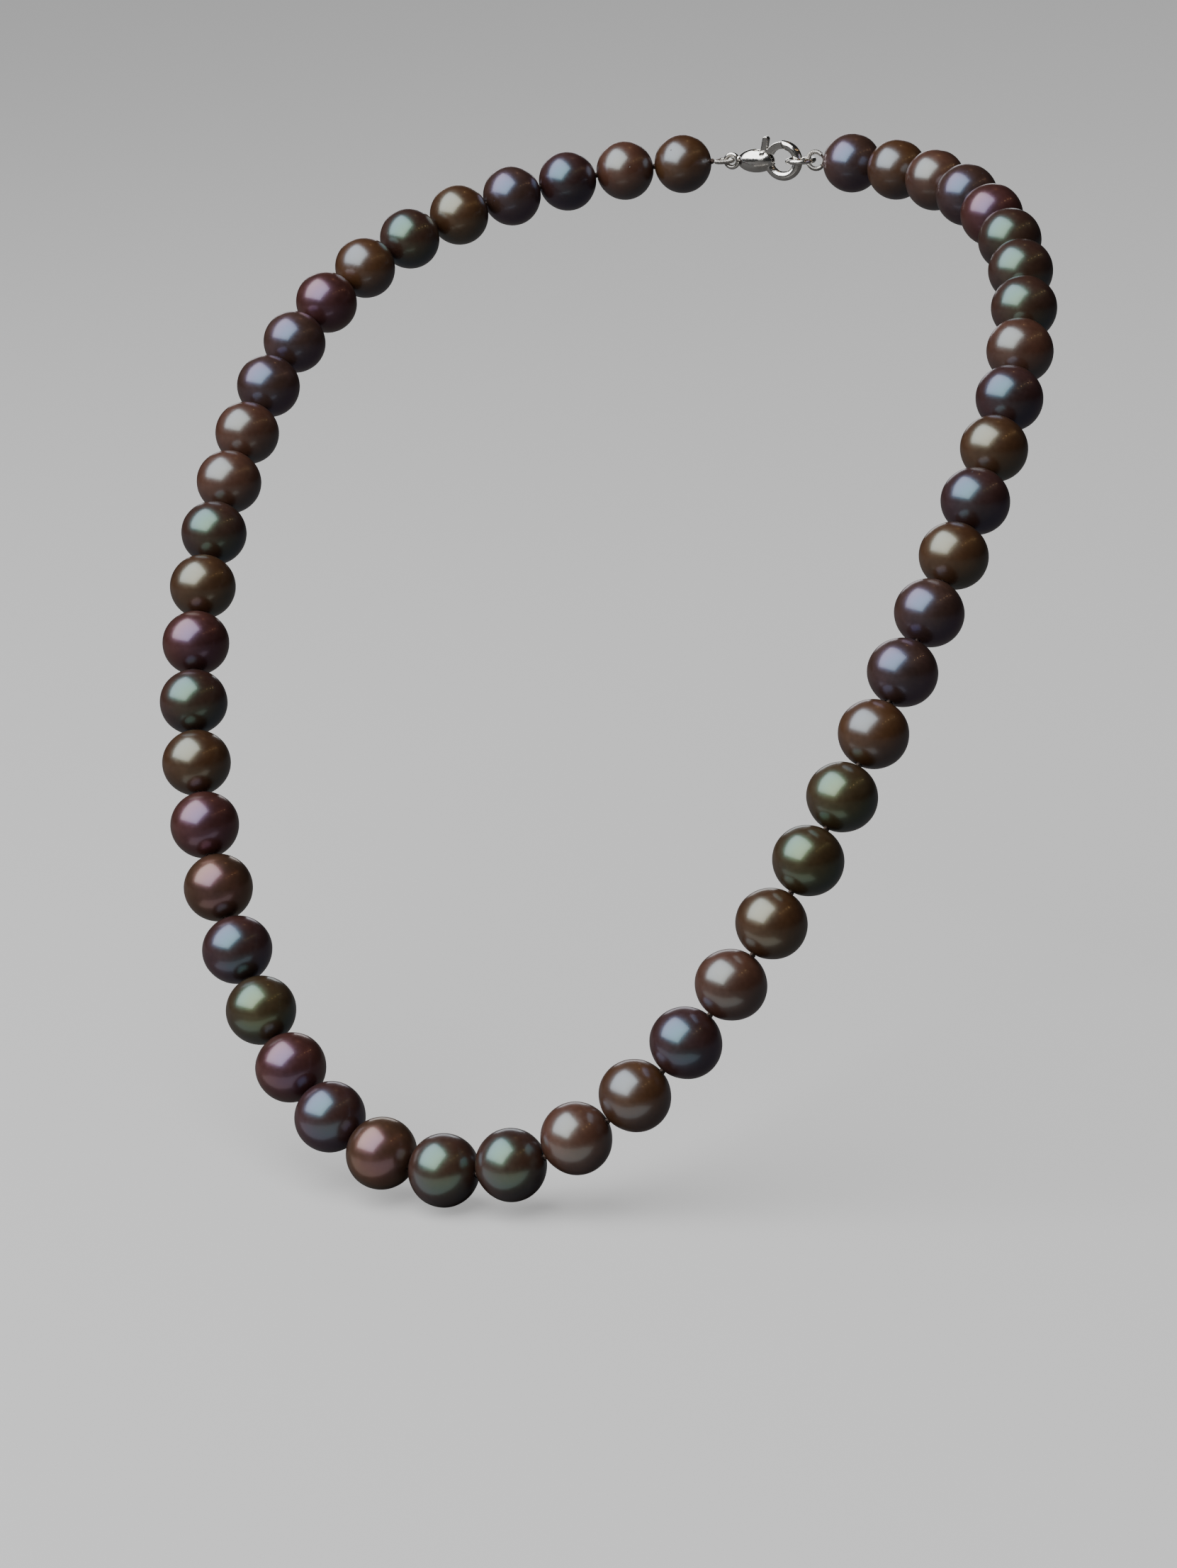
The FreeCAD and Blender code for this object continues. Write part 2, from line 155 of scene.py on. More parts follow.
# The neck's pearls are matched pairs of solids, so the record has one finish for both. The
# left ones follow on from the left drop and have their own order, from pearl 13 outwards.
LEFT_NECK_ORDER: Sequence[Nacre] = (
    Nacre.ROSE_SILVER,
    Nacre.ROSE_SILVER,
    Nacre.TAUPE_LILAC,
    Nacre.TAUPE_LILAC,
    Nacre.MAUVE_PINK,
    Nacre.GOLDEN_LILAC,
    Nacre.PLUM_MINT,
    Nacre.BRONZE_CREAM,
    Nacre.TAUPE_LILAC,
    Nacre.PLUM_BLUE,
    Nacre.ROSE_SILVER,
    Nacre.GOLDEN_LILAC,
)


@dataclass(frozen=True)
class MetalFinish:
    """A clasp metal: its clean colour, its tarnish, and how glossy it is."""

    clean: Colour
    tarnish: Colour
    roughness: float
    wear: float


class Metal(Enum):
    """The metals of the clasp; each value is also the record's slot."""

    SILVER = "silver"
    GIMP_WIRE = "gimp_wire"
    SPRING_STEEL = "spring_steel"


METAL_FINISHES: Mapping[Metal, MetalFinish] = {
    Metal.SILVER: MetalFinish((0.80, 0.78, 0.74), (0.46, 0.42, 0.37), 0.14, 0.5),
    Metal.GIMP_WIRE: MetalFinish((0.66, 0.64, 0.60), (0.36, 0.33, 0.29), 0.30, 0.6),
    Metal.SPRING_STEEL: MetalFinish((0.50, 0.50, 0.52), (0.30, 0.29, 0.29), 0.34, 0.7),
}


# ---- node trees ---------------------------------------------------------------------------

class Wiring:
    """Adds nodes to a tree and joins them, so that a recipe reads from top to bottom."""

    def __init__(self, tree: bpy.types.NodeTree) -> None:
        """Start on an empty tree."""
        self.tree = tree
        tree.nodes.clear()

    def node(self, kind: str, inputs: Mapping | None = None, **settings: object) -> bpy.types.Node:
        """Add one node.

        Args:
            kind: the node's type name.
            inputs: for each input, by name or number, a value or the socket that feeds it.
            settings: the node's own options.

        Returns:
            The new node.
        """
        made = self.tree.nodes.new(kind)
        for name, value in settings.items():
            setattr(made, name, value)
        for key, value in (inputs or {}).items():
            if isinstance(value, Socket):
                self.tree.links.new(value, made.inputs[key])
            else:
                made.inputs[key].default_value = value
        return made

    def math(self, operation: str, *terms: object) -> Socket:
        """One step of arithmetic on numbers or sockets; returns its result."""
        return self.node("ShaderNodeMath", dict(enumerate(terms)), operation=operation).outputs[0]

    def vector(self, operation: str, first: object, second: object) -> Socket:
        """One step of arithmetic on two vectors; returns its result."""
        inputs = {0: first, 1: second}
        return self.node("ShaderNodeVectorMath", inputs, operation=operation).outputs[0]

    def scaled(self, vector: object, scale: object) -> Socket:
        """A vector times a number."""
        inputs = {0: vector, "Scale": scale}
        return self.node("ShaderNodeVectorMath", inputs, operation="SCALE").outputs[0]

    def ramp(
        self, value: Socket, low: float, high: float, start: float = 0.0, end: float = 1.0
    ) -> Socket:
        """A smooth step from start to end, as value goes from low to high."""
        inputs = {"Value": value, 1: low, 2: high, 3: start, 4: end}
        return self.node("ShaderNodeMapRange", inputs, interpolation_type="SMOOTHSTEP").outputs[0]

    def noise(self, where: Socket, scale: float, seed: object = 0.0, detail: float = 2.0) -> Socket:
        """Cloudy noise from 0 to 1 at a place; seed picks the pattern."""
        inputs = {"Vector": where, "W": seed, "Scale": scale, "Detail": detail}
        return self.node("ShaderNodeTexNoise", inputs, noise_dimensions="4D").outputs[0]

    def spots(
        self, where: Socket, scale: float, seed: object, share: float
    ) -> tuple[Socket, Socket]:
        """Scattered spots.

        Args:
            where: the place.
            scale: cells per unit of length, each of which may hold a spot.
            seed: picks the pattern.
            share: the share of cells that hold one.

        Returns:
            The distance from the nearest cell's middle, and 1 where that cell holds a spot.
        """
        inputs = {"Vector": where, "W": seed, "Scale": scale}
        cells = self.node("ShaderNodeTexVoronoi", inputs, voronoi_dimensions="4D")
        luck = self.node("ShaderNodeSeparateXYZ", {0: cells.outputs["Color"]}).outputs[0]
        return cells.outputs["Distance"], self.math("LESS_THAN", luck, share)

    def mix(self, share: object, first: object, second: object, blend: str = "MIX") -> Socket:
        """A mix of two colours.

        Args:
            share: how much of the second.
            first: a socket or (r, g, b).
            second: the same.
            blend: how they are blended.

        Returns:
            The mixed colour.
        """
        made = self.node("ShaderNodeMix", data_type="RGBA", blend_type=blend)
        for key, value in ((0, share), (6, first), (7, second)):
            if isinstance(value, Socket):
                self.tree.links.new(value, made.inputs[key])
            else:
                made.inputs[key].default_value = (*value, 1.0) if key else value
        return made.outputs[2]


SOCKETS = {
    "shape": "NodeSocketGeometry",
    "number": "NodeSocketFloat",
    "count": "NodeSocketInt",
    "material": "NodeSocketMaterial",
    "colour": "NodeSocketColor",
}


def new_group(
    name: str, kind: str, inputs: Mapping[str, str], outputs: Mapping[str, str]
) -> Wiring:
    """Make a node group with named sockets.

    Args:
        name: the group's name.
        kind: "GeometryNodeTree" or "ShaderNodeTree".
        inputs: each input's name and its kind, one of SOCKETS.
        outputs: each output's name and its kind.

    Returns:
        The wiring of the new group.
    """
    tree = bpy.data.node_groups.new(name, kind)
    wiring = Wiring(tree)
    for way, sockets in (("INPUT", inputs), ("OUTPUT", outputs)):
        for label, socket in sockets.items():
            tree.interface.new_socket(label, in_out=way, socket_type=SOCKETS[socket])
    return wiring


def grown(
    name: str, seed: bpy.types.Mesh, tree: bpy.types.NodeTree, values: Mapping
) -> bpy.types.Object:
    """Run a geometry tree on a mesh and keep what it makes as a plain mesh.

    Args:
        name: the new object's name.
        seed: the mesh that the tree starts from.
        tree: the geometry tree.
        values: the tree's inputs, by name.

    Returns:
        An object with the finished mesh and no modifier.
    """
    start = bpy.data.objects.new(f"{name}_seed", seed)
    bpy.context.scene.collection.objects.link(start)
    modifier = start.modifiers.new("growth", "NODES")
    modifier.node_group = tree
    for item in tree.interface.items_tree:
        if item.in_out == "INPUT" and item.name in values:
            modifier[item.identifier] = values[item.name]
    return baked(name, start)


def baked(name: str, start: bpy.types.Object) -> bpy.types.Object:
    """Turn an object with live modifiers into a new one with a plain mesh; the old one goes.

    Args:
        name: the new object's name.
        start: the object with the modifiers.

    Returns:
        The new object.
    """
    graph = bpy.context.evaluated_depsgraph_get()
    mesh = bpy.data.meshes.new_from_object(
        start.evaluated_get(graph), preserve_all_data_layers=True, depsgraph=graph
    )
    bpy.data.objects.remove(start)
    return placed(name, mesh)


def placed(name: str, mesh: bpy.types.Mesh) -> bpy.types.Object:
    """Put a mesh in the scene at the origin.

    Args:
        name: the object's name.
        mesh: its mesh.

    Returns:
        The new object.
    """
    piece = bpy.data.objects.new(name, mesh)
    bpy.context.scene.collection.objects.link(piece)
    return piece


def finish_piece(piece: bpy.types.Object, body: str, slot: str, *nodes: str) -> None:
    """Hang a finished piece on its body, and hide the CAD nodes that it stands for.

    Args:
        piece: the piece.
        body: the CAD body it rides on.
        slot: not used.
        nodes: the CAD nodes it stands for.
    """
    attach(piece, body)
    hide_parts(*nodes)
    LOG.info("%s: %d faces, on %s", piece.name, len(piece.data.polygons), body)


def lathe(name: str, outline: Sequence[tuple[float, float]], sides: int) -> bpy.types.Mesh:
    """Turn an outline about the Z axis into a closed mesh.

    Args:
        name: the mesh's name.
        outline: (radius, height) all the way round the section; an outline that starts and
            ends at radius 0 is closed at both poles, and any other is closed on itself.
        sides: how many faces it has round the axis.

    Returns:
        The mesh, with its faces outwards.
    """
    shape = bmesh.new()
    rings = []
    for radius, height in outline:
        if radius == 0:
            rings.append([shape.verts.new((0, 0, height))] * sides)
            continue
        turns = (FULL_TURN * step / sides for step in range(sides))
        ring = ((radius * math.cos(t), radius * math.sin(t), height) for t in turns)
        rings.append([shape.verts.new(corner) for corner in ring])
    if outline[0][0] > 0:
        rings.append(rings[0])
    for low, high in zip(rings, rings[1:]):
        for side in range(sides):
            nearest = (side + 1) % sides
            corners = dict.fromkeys((low[side], low[nearest], high[nearest], high[side]))
            shape.faces.new(list(corners)).smooth = True
    bmesh.ops.recalc_face_normals(shape, faces=shape.faces)
    mesh = bpy.data.meshes.new(name)
    shape.to_mesh(mesh)
    shape.free()
    return mesh


# ---- the strand, as the frame has it ------------------------------------------------------

@dataclass(frozen=True)
class StrungPearl:
    """One pearl's place on the strand, read from its CAD solid.

    Args:
        number: 0 at the centre, 1 to 24 outwards; negative on the left.
        node: the CAD node that holds it.
        centre: its middle.
        way: along its hole, from left to right round the strand.
        half_width: across the hole.
        half_length: along the hole.
        bore_end: from the middle to where the hole opens out into a knot's seat.
    """

    number: int
    node: str
    centre: Vector
    way: Vector
    half_width: float
    half_length: float
    bore_end: float

    @property
    def label(self) -> str:
        """The pearl's name.

        Returns:
            Its side and its number.
        """
        if self.number == 0:
            return "pearl_centre"
        side = "left" if self.number < 0 else "right"
        return f"pearl_{side}_{abs(self.number):02d}"


@dataclass
class Strand:
    """All the pearls in order from left to right, and the knots between them."""

    mouth_tolerance: float = 0.03 * MM
    seat_depth: float = 0.447 * MM
    pearls: list[StrungPearl] = field(default_factory=list)
    knots: list[Vector] = field(default_factory=list)
    body_of: dict[str, str] = field(default_factory=dict)
    slot_of: dict[str, str] = field(default_factory=dict)

    def read(self) -> "Strand":
        """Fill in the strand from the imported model.

        Returns:
            The strand itself.
        """
        record = frame["record"]
        for body, members in record["behaviour"]["bodies"].items():
            self.body_of.update(dict.fromkeys(members, body))
        self.slot_of = {part["node"]: part["material_slot"] for part in record["subparts"]}
        found = [self.measure(n) for n in range(-PEARLS_PER_SIDE, PEARLS_PER_SIDE + 1)]
        last = len(found) - 1
        for place, pearl in enumerate(found):
            onward = found[min(place + 1, last)].centre - found[max(place - 1, 0)].centre
            turned = pearl if pearl.way.dot(onward) > 0 else replace(pearl, way=-pearl.way)
            self.pearls.append(turned)
        self.knots = [self.beyond(self.pearls[0], -1)]
        for left, right in zip(self.pearls, self.pearls[1:]):
            self.knots.append((self.beyond(left, 1) + self.beyond(right, -1)) / 2)
        self.knots.append(self.beyond(self.pearls[-1], 1))
        return self

    def measure(self, number: int) -> StrungPearl:
        """Measure one pearl's CAD solid.

        Args:
            number: the pearl's number, negative on the left.

        Returns:
            Its place, with its way not yet sorted out.
        """
        if abs(number) > DROP_STEPS:
            node = f"pearl_pair_{abs(number):02d}"
        elif number == 0:
            node = "pearl_centre"
        else:
            node = f"pearl_{'left' if number < 0 else 'right'}_{abs(number):02d}"
        points = np.array([vertex.co for vertex in frame["nodes"][node].data.vertices])
        if abs(number) > DROP_STEPS:
            points = points[points[:, 0] * number > 0]
        middle = (points.min(0) + points.max(0)) / 2
        reach = points - middle
        distance = np.linalg.norm(reach, axis=1)
        mouths = reach[distance < distance.min() + self.mouth_tolerance]
        one_side = mouths[mouths @ mouths[0] > 0].mean(0)
        bore_end = float(np.linalg.norm(one_side))
        way = one_side / bore_end
        along = np.abs(reach @ way)
        across = np.sqrt(np.maximum(distance ** 2 - along ** 2, 0))
        half_sizes = float(across.max()), float(along.max())
        return StrungPearl(number, node, Vector(middle), Vector(way), *half_sizes, bore_end)

    def beyond(self, pearl: StrungPearl, sign: int) -> Vector:
        """The knot that sits in a pearl's mouth, at its right end for 1 or its left for -1."""
        return pearl.centre + pearl.way * (sign * (pearl.bore_end + self.seat_depth))

    def knot(self, number: int) -> Vector:
        """A knot by its number, outwards from 1 next to the centre pearl; negative on the left."""
        return self.knots[PEARLS_PER_SIDE + number + (0 if number > 0 else 1)]


# ---- shader groups ------------------------------------------------------------------------

@dataclass(frozen=True)
class NacrePattern:
    """The patterns in nacre: sizes as noise scales per millimetre, and how strongly each shows.

    Args:
        cloud_scale: the darker patches, and cloud_strength of them.
        drift_scale: the overtone's drift, and drift_strength of it.
        band_strength: of the growth rings.
        mottle_scale: the fine mottling, between mottle_dark and mottle_light.
        pit_scale: cells for pits, a pit_share of which hold one of pit_depth.
        pit_shade_colour: painted shade that darkens a pit or dimple, and pit_shade_strength of it.
        dimple_strength: how far a dimple counts as a pit.
        skin_scale: the finest ripple, skin_height high.
        swell_scale: the slow ripple, swell_height high.
        gloss: weight of the clear top layer, less gloss_lost in a pit.
        unevenness: how far the softness varies with the mottling, and pit_softness in a pit.
    """

    cloud_scale: float = 0.16
    cloud_strength: float = 0.62
    drift_scale: float = 0.27
    drift_strength: float = 0.55
    band_strength: float = 0.22
    mottle_scale: float = 1.7
    mottle_dark: float = 0.90
    mottle_light: float = 1.08
    pit_scale: float = 1.1
    pit_share: float = 0.05
    pit_inner: float = 0.05
    pit_outer: float = 0.13
    pit_depth: float = 3.0
    pit_shade_colour: Colour = (0.010, 0.006, 0.005)
    pit_shade_strength: float = 0.6
    pit_softness: float = 0.2
    dimple_strength: float = 0.45
    skin_scale: float = 5.5
    skin_height: float = 0.010
    swell_scale: float = 0.9
    swell_height: float = 0.15
    gloss: float = 0.34
    gloss_lost: float = 0.30
    unevenness: float = 0.10


def nacre_group(look: NacrePattern = NacrePattern()) -> bpy.types.NodeTree:
    """The look of nacre: drifting body colour, growth rings, pits and dimples darkened with painted
    shade, and a finely rippled skin.

    Args:
        look: the sizes and strengths of its patterns.

    Returns:
        A shader group that gives Colour, Roughness, Gloss (a mask for the clear layer) and Height.
    """
    wiring = new_group(
        "nacre",
        "ShaderNodeTree",
        {"Body": "colour", "Deep": "colour", "Overtone": "colour", "Softness": "number"},
        {"Colour": "colour", "Roughness": "number", "Gloss": "number", "Height": "number"},
    )
    given = wiring.node("NodeGroupInput").outputs
    place = wiring.node("ShaderNodeTexCoord").outputs["Object"]
    where = wiring.scaled(place, PER_METRE)
    ring = wiring.node("ShaderNodeAttribute", attribute_name="ring").outputs["Fac"]
    dimple = wiring.node("ShaderNodeAttribute", attribute_name="dimple").outputs["Fac"]
    clouds = wiring.ramp(wiring.noise(where, look.cloud_scale, 1.0, 3.0), 0.36, 0.66)
    drift = wiring.ramp(wiring.noise(where, look.drift_scale, 7.0, 2.0), 0.42, 0.72)
    bands = wiring.ramp(ring, 0.35, 0.70)
    mottle = wiring.noise(where, look.mottle_scale, 3.0, 3.0)
    colour = given["Body"]
    for mask, strength, cast in (
        (clouds, look.cloud_strength, given["Deep"]),
        (drift, look.drift_strength, given["Overtone"]),
        (bands, look.band_strength, given["Deep"]),
    ):
        colour = wiring.mix(wiring.math("MULTIPLY", mask, strength), colour, cast)
    shade = wiring.ramp(mottle, 0.25, 0.75, look.mottle_dark, look.mottle_light)
    shades = wiring.node("ShaderNodeCombineColor", {0: shade, 1: shade, 2: shade}).outputs[0]
    colour = wiring.mix(1.0, colour, shades, "MULTIPLY")
    distance, chosen = wiring.spots(where, look.pit_scale, 5.0, look.pit_share)
    pits = wiring.ramp(distance, look.pit_inner, look.pit_outer, 1.0, 0.0)
    pits = wiring.math("MULTIPLY", pits, chosen)
    dimples = wiring.math("MULTIPLY", dimple, look.dimple_strength)
    marks = wiring.math("MAXIMUM", pits, dimples)
    # Darkening pits and dimples towards near black is painted shade in these hollows; the same
    # marks also raise the roughness and thin the clear layer.
    share = wiring.math("MULTIPLY", marks, look.pit_shade_strength)
    colour = wiring.mix(share, colour, look.pit_shade_colour)
    uneven = wiring.math("MULTIPLY", wiring.math("SUBTRACT", mottle, 0.5), look.unevenness)
    rough = wiring.math("ADD", given["Softness"], uneven)
    rough = wiring.math("ADD", rough, wiring.math("MULTIPLY", marks, look.pit_softness))
    skin = wiring.noise(where, look.skin_scale, 2.0, 2.0)
    swell = wiring.noise(where, look.swell_scale, 9.0, 1.0)
    skin = wiring.math("MULTIPLY", skin, look.skin_height)
    swell = wiring.math("MULTIPLY", swell, look.swell_height)
    height = wiring.math("ADD", skin, swell)
    height = wiring.math("SUBTRACT", height, wiring.math("MULTIPLY", pits, look.pit_depth))
    gloss = wiring.math("SUBTRACT", look.gloss, wiring.math("MULTIPLY", marks, look.gloss_lost))
    results = {"Colour": colour, "Roughness": rough, "Gloss": gloss, "Height": height}
    wiring.node("NodeGroupOutput", results)
    return wiring.tree


SCRATCH_STRETCH = (1.2, 9.0, 9.0)
SCRATCH_ROUGHNESS = 0.16
TARNISH_ROUGHNESS = 0.25


def wear_group() -> bpy.types.NodeTree:
    """Handling wear on small metal parts: tarnish in clouds, and fine rubbed scratches.

    Returns:
        A shader group that gives Colour, Roughness and Height.
    """
    wiring = new_group(
        "handling_wear",
        "ShaderNodeTree",
        {"Clean": "colour", "Tarnish": "colour", "Roughness": "number", "Wear": "number"},
        {"Colour": "colour", "Roughness": "number", "Height": "number"},
    )
    given = wiring.node("NodeGroupInput").outputs
    place = wiring.node("ShaderNodeTexCoord").outputs["Object"]
    where = wiring.scaled(place, PER_METRE)
    stretched = wiring.vector("MULTIPLY", where, SCRATCH_STRETCH)
    clouds = wiring.ramp(wiring.noise(where, 0.8, 4.0, 4.0), 0.45, 0.75)
    scratches = wiring.noise(stretched, 1.6, 6.0, 2.0)
    dull = wiring.math("MULTIPLY", clouds, given["Wear"])
    colour = wiring.mix(dull, given["Clean"], given["Tarnish"])
    rubbed = wiring.math("MULTIPLY", wiring.math("SUBTRACT", scratches, 0.5), SCRATCH_ROUGHNESS)
    rough = wiring.math("ADD", given["Roughness"], wiring.math("MULTIPLY", dull, TARNISH_ROUGHNESS))
    rough = wiring.math("ADD", rough, rubbed)
    wiring.node("NodeGroupOutput", {"Colour": colour, "Roughness": rough, "Height": scratches})
    return wiring.tree


def new_material(name: str) -> tuple[bpy.types.Material, Wiring, bpy.types.Node]:
    """Make an empty material.

    Args:
        name: its name.

    Returns:
        The material, its wiring and its Principled shader, already joined up.
    """
    material = bpy.data.materials.new(name)
    material.use_nodes = True
    wiring = Wiring(material.node_tree)
    shader = wiring.node("ShaderNodeBsdfPrincipled")
    wiring.node("ShaderNodeOutputMaterial", {"Surface": shader.outputs[0]})
    return material, wiring, shader


def bumped(wiring: Wiring, shader: bpy.types.Node, height: Socket, distance: float) -> None:
    """Feed a shader's Normal from a height, whose unit is that distance."""
    bump = wiring.node("ShaderNodeBump", {"Strength": 1.0, "Distance": distance, "Height": height})
    wiring.tree.links.new(bump.outputs[0], shader.inputs["Normal"])


@dataclass
class Palette:
    """Every material of the necklace, made once and shared by its pieces."""

    nacre_softness: float = 0.30
    nacre_film_ior: float = 1.82
    nacre_ior: float = 1.62
    coat_roughness: float = 0.085
    nacre_relief: float = 0.012 * MM
    metal_relief: float = 0.004 * MM
    silk_relief: float = 0.03 * MM
    silk_dark: Colour = (0.060, 0.036, 0.027)
    silk_light: Colour = (0.125, 0.083, 0.062)
    silk_soiled: Colour = (0.045, 0.029, 0.023)
    nacre: bpy.types.NodeTree = field(default_factory=nacre_group)
    wear: bpy.types.NodeTree = field(default_factory=wear_group)
    made: dict[str, bpy.types.Material] = field(default_factory=dict)

    def pearl(self, kind: Nacre) -> bpy.types.Material:
        """The material of one kind of pearl, made at its first use.

        Args:
            kind: the kind.

        Returns:
            The material.
        """
        if kind.value in self.made:
            return self.made[kind.value]
        finish = NACRE_FINISHES[kind]
        material, wiring, shader = new_material(kind.value)
        look = wiring.node("ShaderNodeGroup", node_tree=self.nacre)
        look.inputs["Body"].default_value = (*finish.body, 1.0)
        look.inputs["Deep"].default_value = (*finish.deep, 1.0)
        look.inputs["Overtone"].default_value = (*finish.overtone, 1.0)
        look.inputs["Softness"].default_value = self.nacre_softness
        for output, socket in (
            ("Colour", "Base Color"), ("Roughness", "Roughness"), ("Gloss", "Coat Weight")
        ):
            wiring.tree.links.new(look.outputs[output], shader.inputs[socket])
        shader.inputs["IOR"].default_value = self.nacre_ior
        shader.inputs["Specular IOR Level"].default_value = 1.0
        shader.inputs["Specular Tint"].default_value = (*finish.tint, 1.0)
        shader.inputs["Thin Film Thickness"].default_value = finish.film
        shader.inputs["Thin Film IOR"].default_value = self.nacre_film_ior
        shader.inputs["Coat Roughness"].default_value = self.coat_roughness
        bumped(wiring, shader, look.outputs["Height"], self.nacre_relief)
        self.made[kind.value] = material
        return material

    def metal(self, kind: Metal) -> bpy.types.Material:
        """The material of one of the clasp's metals, made at its first use.

        Args:
            kind: the metal.

        Returns:
            The material.
        """
        if kind.value in self.made:
            return self.made[kind.value]
        finish = METAL_FINISHES[kind]
        material, wiring, shader = new_material(kind.value)
        look = wiring.node("ShaderNodeGroup", node_tree=self.wear)
        look.inputs["Clean"].default_value = (*finish.clean, 1.0)
        look.inputs["Tarnish"].default_value = (*finish.tarnish, 1.0)
        look.inputs["Roughness"].default_value = finish.roughness
        look.inputs["Wear"].default_value = finish.wear
        wiring.tree.links.new(look.outputs["Colour"], shader.inputs["Base Color"])
        wiring.tree.links.new(look.outputs["Roughness"], shader.inputs["Roughness"])
        shader.inputs["Metallic"].default_value = 1.0
        bumped(wiring, shader, look.outputs["Height"], self.metal_relief)
        self.made[kind.value] = material
        return material

    def silk(self) -> bpy.types.Material:
        """Brown beading silk: a soft fibre with a faint lustre.

        Returns:
            The material.
        """
        if "silk" in self.made:
            return self.made["silk"]
        material, wiring, shader = new_material("silk")
        where = wiring.scaled(wiring.node("ShaderNodeTexCoord").outputs["Object"], PER_METRE)
        fibre = wiring.noise(where, 7.0, 1.0, 3.0)
        soiled = wiring.ramp(wiring.noise(where, 0.4, 2.0, 2.0), 0.4, 0.7)
        colour = wiring.mix(wiring.ramp(fibre, 0.3, 0.7), self.silk_dark, self.silk_light)
        colour = wiring.mix(wiring.math("MULTIPLY", soiled, 0.4), colour, self.silk_soiled)
        wiring.tree.links.new(colour, shader.inputs["Base Color"])
        wiring.tree.links.new(wiring.ramp(fibre, 0.2, 0.8, 0.62, 0.78), shader.inputs["Roughness"])
        shader.inputs["Sheen Weight"].default_value = 0.35
        shader.inputs["Sheen Roughness"].default_value = 0.4
        bumped(wiring, shader, fibre, self.silk_relief)
        self.made["silk"] = material
        return material


# ---- pearls -------------------------------------------------------------------------------

@dataclass(frozen=True)
class GrowthPattern:
    """How a pearl's growth is laid out, in millimetres and noise scales per millimetre.

    Args:
        flat_out_to: distance from the hole's axis within which the pearl stays as turned.
        full_from: distance from which its growth has its full height.
        swell_scale: of the slow swellings; swell_level is what they are measured from.
        ring_scale: of the rings about the hole.
        dimple_scale: cells for dimples, a dimple_share of which hold one.
        dimple_inner: radius of a dimple's floor, in cells, and dimple_outer that of its rim.
    """

    flat_out_to: float = 0.9
    full_from: float = 3.0
    swell_scale: float = 0.15
    swell_level: float = 0.65
    ring_scale: float = 0.75
    dimple_scale: float = 0.30
    dimple_share: float = 0.14
    dimple_inner: float = 0.04
    dimple_outer: float = 0.20


def growth_tree(look: GrowthPattern = GrowthPattern()) -> bpy.types.NodeTree:
    """How a pearl grows off round: slow swellings, rings about its hole, and dimples.

    Args:
        look: the layout of its growth.

    Returns:
        A geometry tree for a turned pearl that stands with its hole along Z.
    """
    wiring = new_group(
        "pearl_growth",
        "GeometryNodeTree",
        {
            "Shape": "shape", "Material": "material", "Seed": "number",
            "Swelling": "number", "Rings": "number", "Dimples": "number",
        },
        {"Shape": "shape"},
    )
    given = wiring.node("NodeGroupInput").outputs
    place = wiring.node("GeometryNodeInputPosition").outputs[0]
    where = wiring.scaled(place, PER_METRE)
    parts = wiring.node("ShaderNodeSeparateXYZ", {0: where}).outputs
    squares = [wiring.math("POWER", part, 2.0) for part in parts[:2]]
    across = wiring.math("SQRT", wiring.math("ADD", *squares))
    clear_of_hole = wiring.ramp(across, look.flat_out_to, look.full_from)
    swelling = wiring.noise(where, look.swell_scale, given["Seed"], 1.0)
    swelling = wiring.math("SUBTRACT", swelling, look.swell_level)
    upright = wiring.node("ShaderNodeCombineXYZ", {2: parts[2]}).outputs[0]
    rings = wiring.noise(upright, look.ring_scale, given["Seed"], 2.0)
    distance, chosen = wiring.spots(where, look.dimple_scale, given["Seed"], look.dimple_share)
    dimple = wiring.ramp(distance, look.dimple_inner, look.dimple_outer, 1.0, 0.0)
    dimple = wiring.math("MULTIPLY", dimple, chosen)
    dimple = wiring.math("MULTIPLY", dimple, clear_of_hole)
    swelling = wiring.math("MULTIPLY", swelling, given["Swelling"])
    ripple = wiring.math("MULTIPLY", wiring.math("SUBTRACT", rings, 0.5), given["Rings"])
    rise = wiring.math("ADD", swelling, ripple)
    rise = wiring.math("SUBTRACT", rise, wiring.math("MULTIPLY", dimple, given["Dimples"]))
    rise = wiring.math("MULTIPLY", rise, clear_of_hole)
    offset = wiring.scaled(wiring.node("GeometryNodeInputNormal").outputs[0], rise)
    shape = given["Shape"]
    for label, value in (("ring", rings), ("dimple", dimple)):
        shape = wiring.node(
            "GeometryNodeStoreNamedAttribute",
            {"Geometry": shape, "Name": label, "Value": value},
            data_type="FLOAT", domain="POINT",
        ).outputs[0]
    shape = wiring.node("GeometryNodeSetPosition", {"Geometry": shape, "Offset": offset}).outputs[0]
    shape = wiring.node("GeometryNodeSetShadeSmooth", {0: shape}).outputs[0]
    shape = wiring.node("GeometryNodeRealizeInstances", {0: shape}).outputs[0]
    dressed = {"Geometry": shape, "Material": given["Material"]}
    shape = wiring.node("GeometryNodeSetMaterial", dressed).outputs[0]
    wiring.node("NodeGroupOutput", {0: shape})
    return wiring.tree


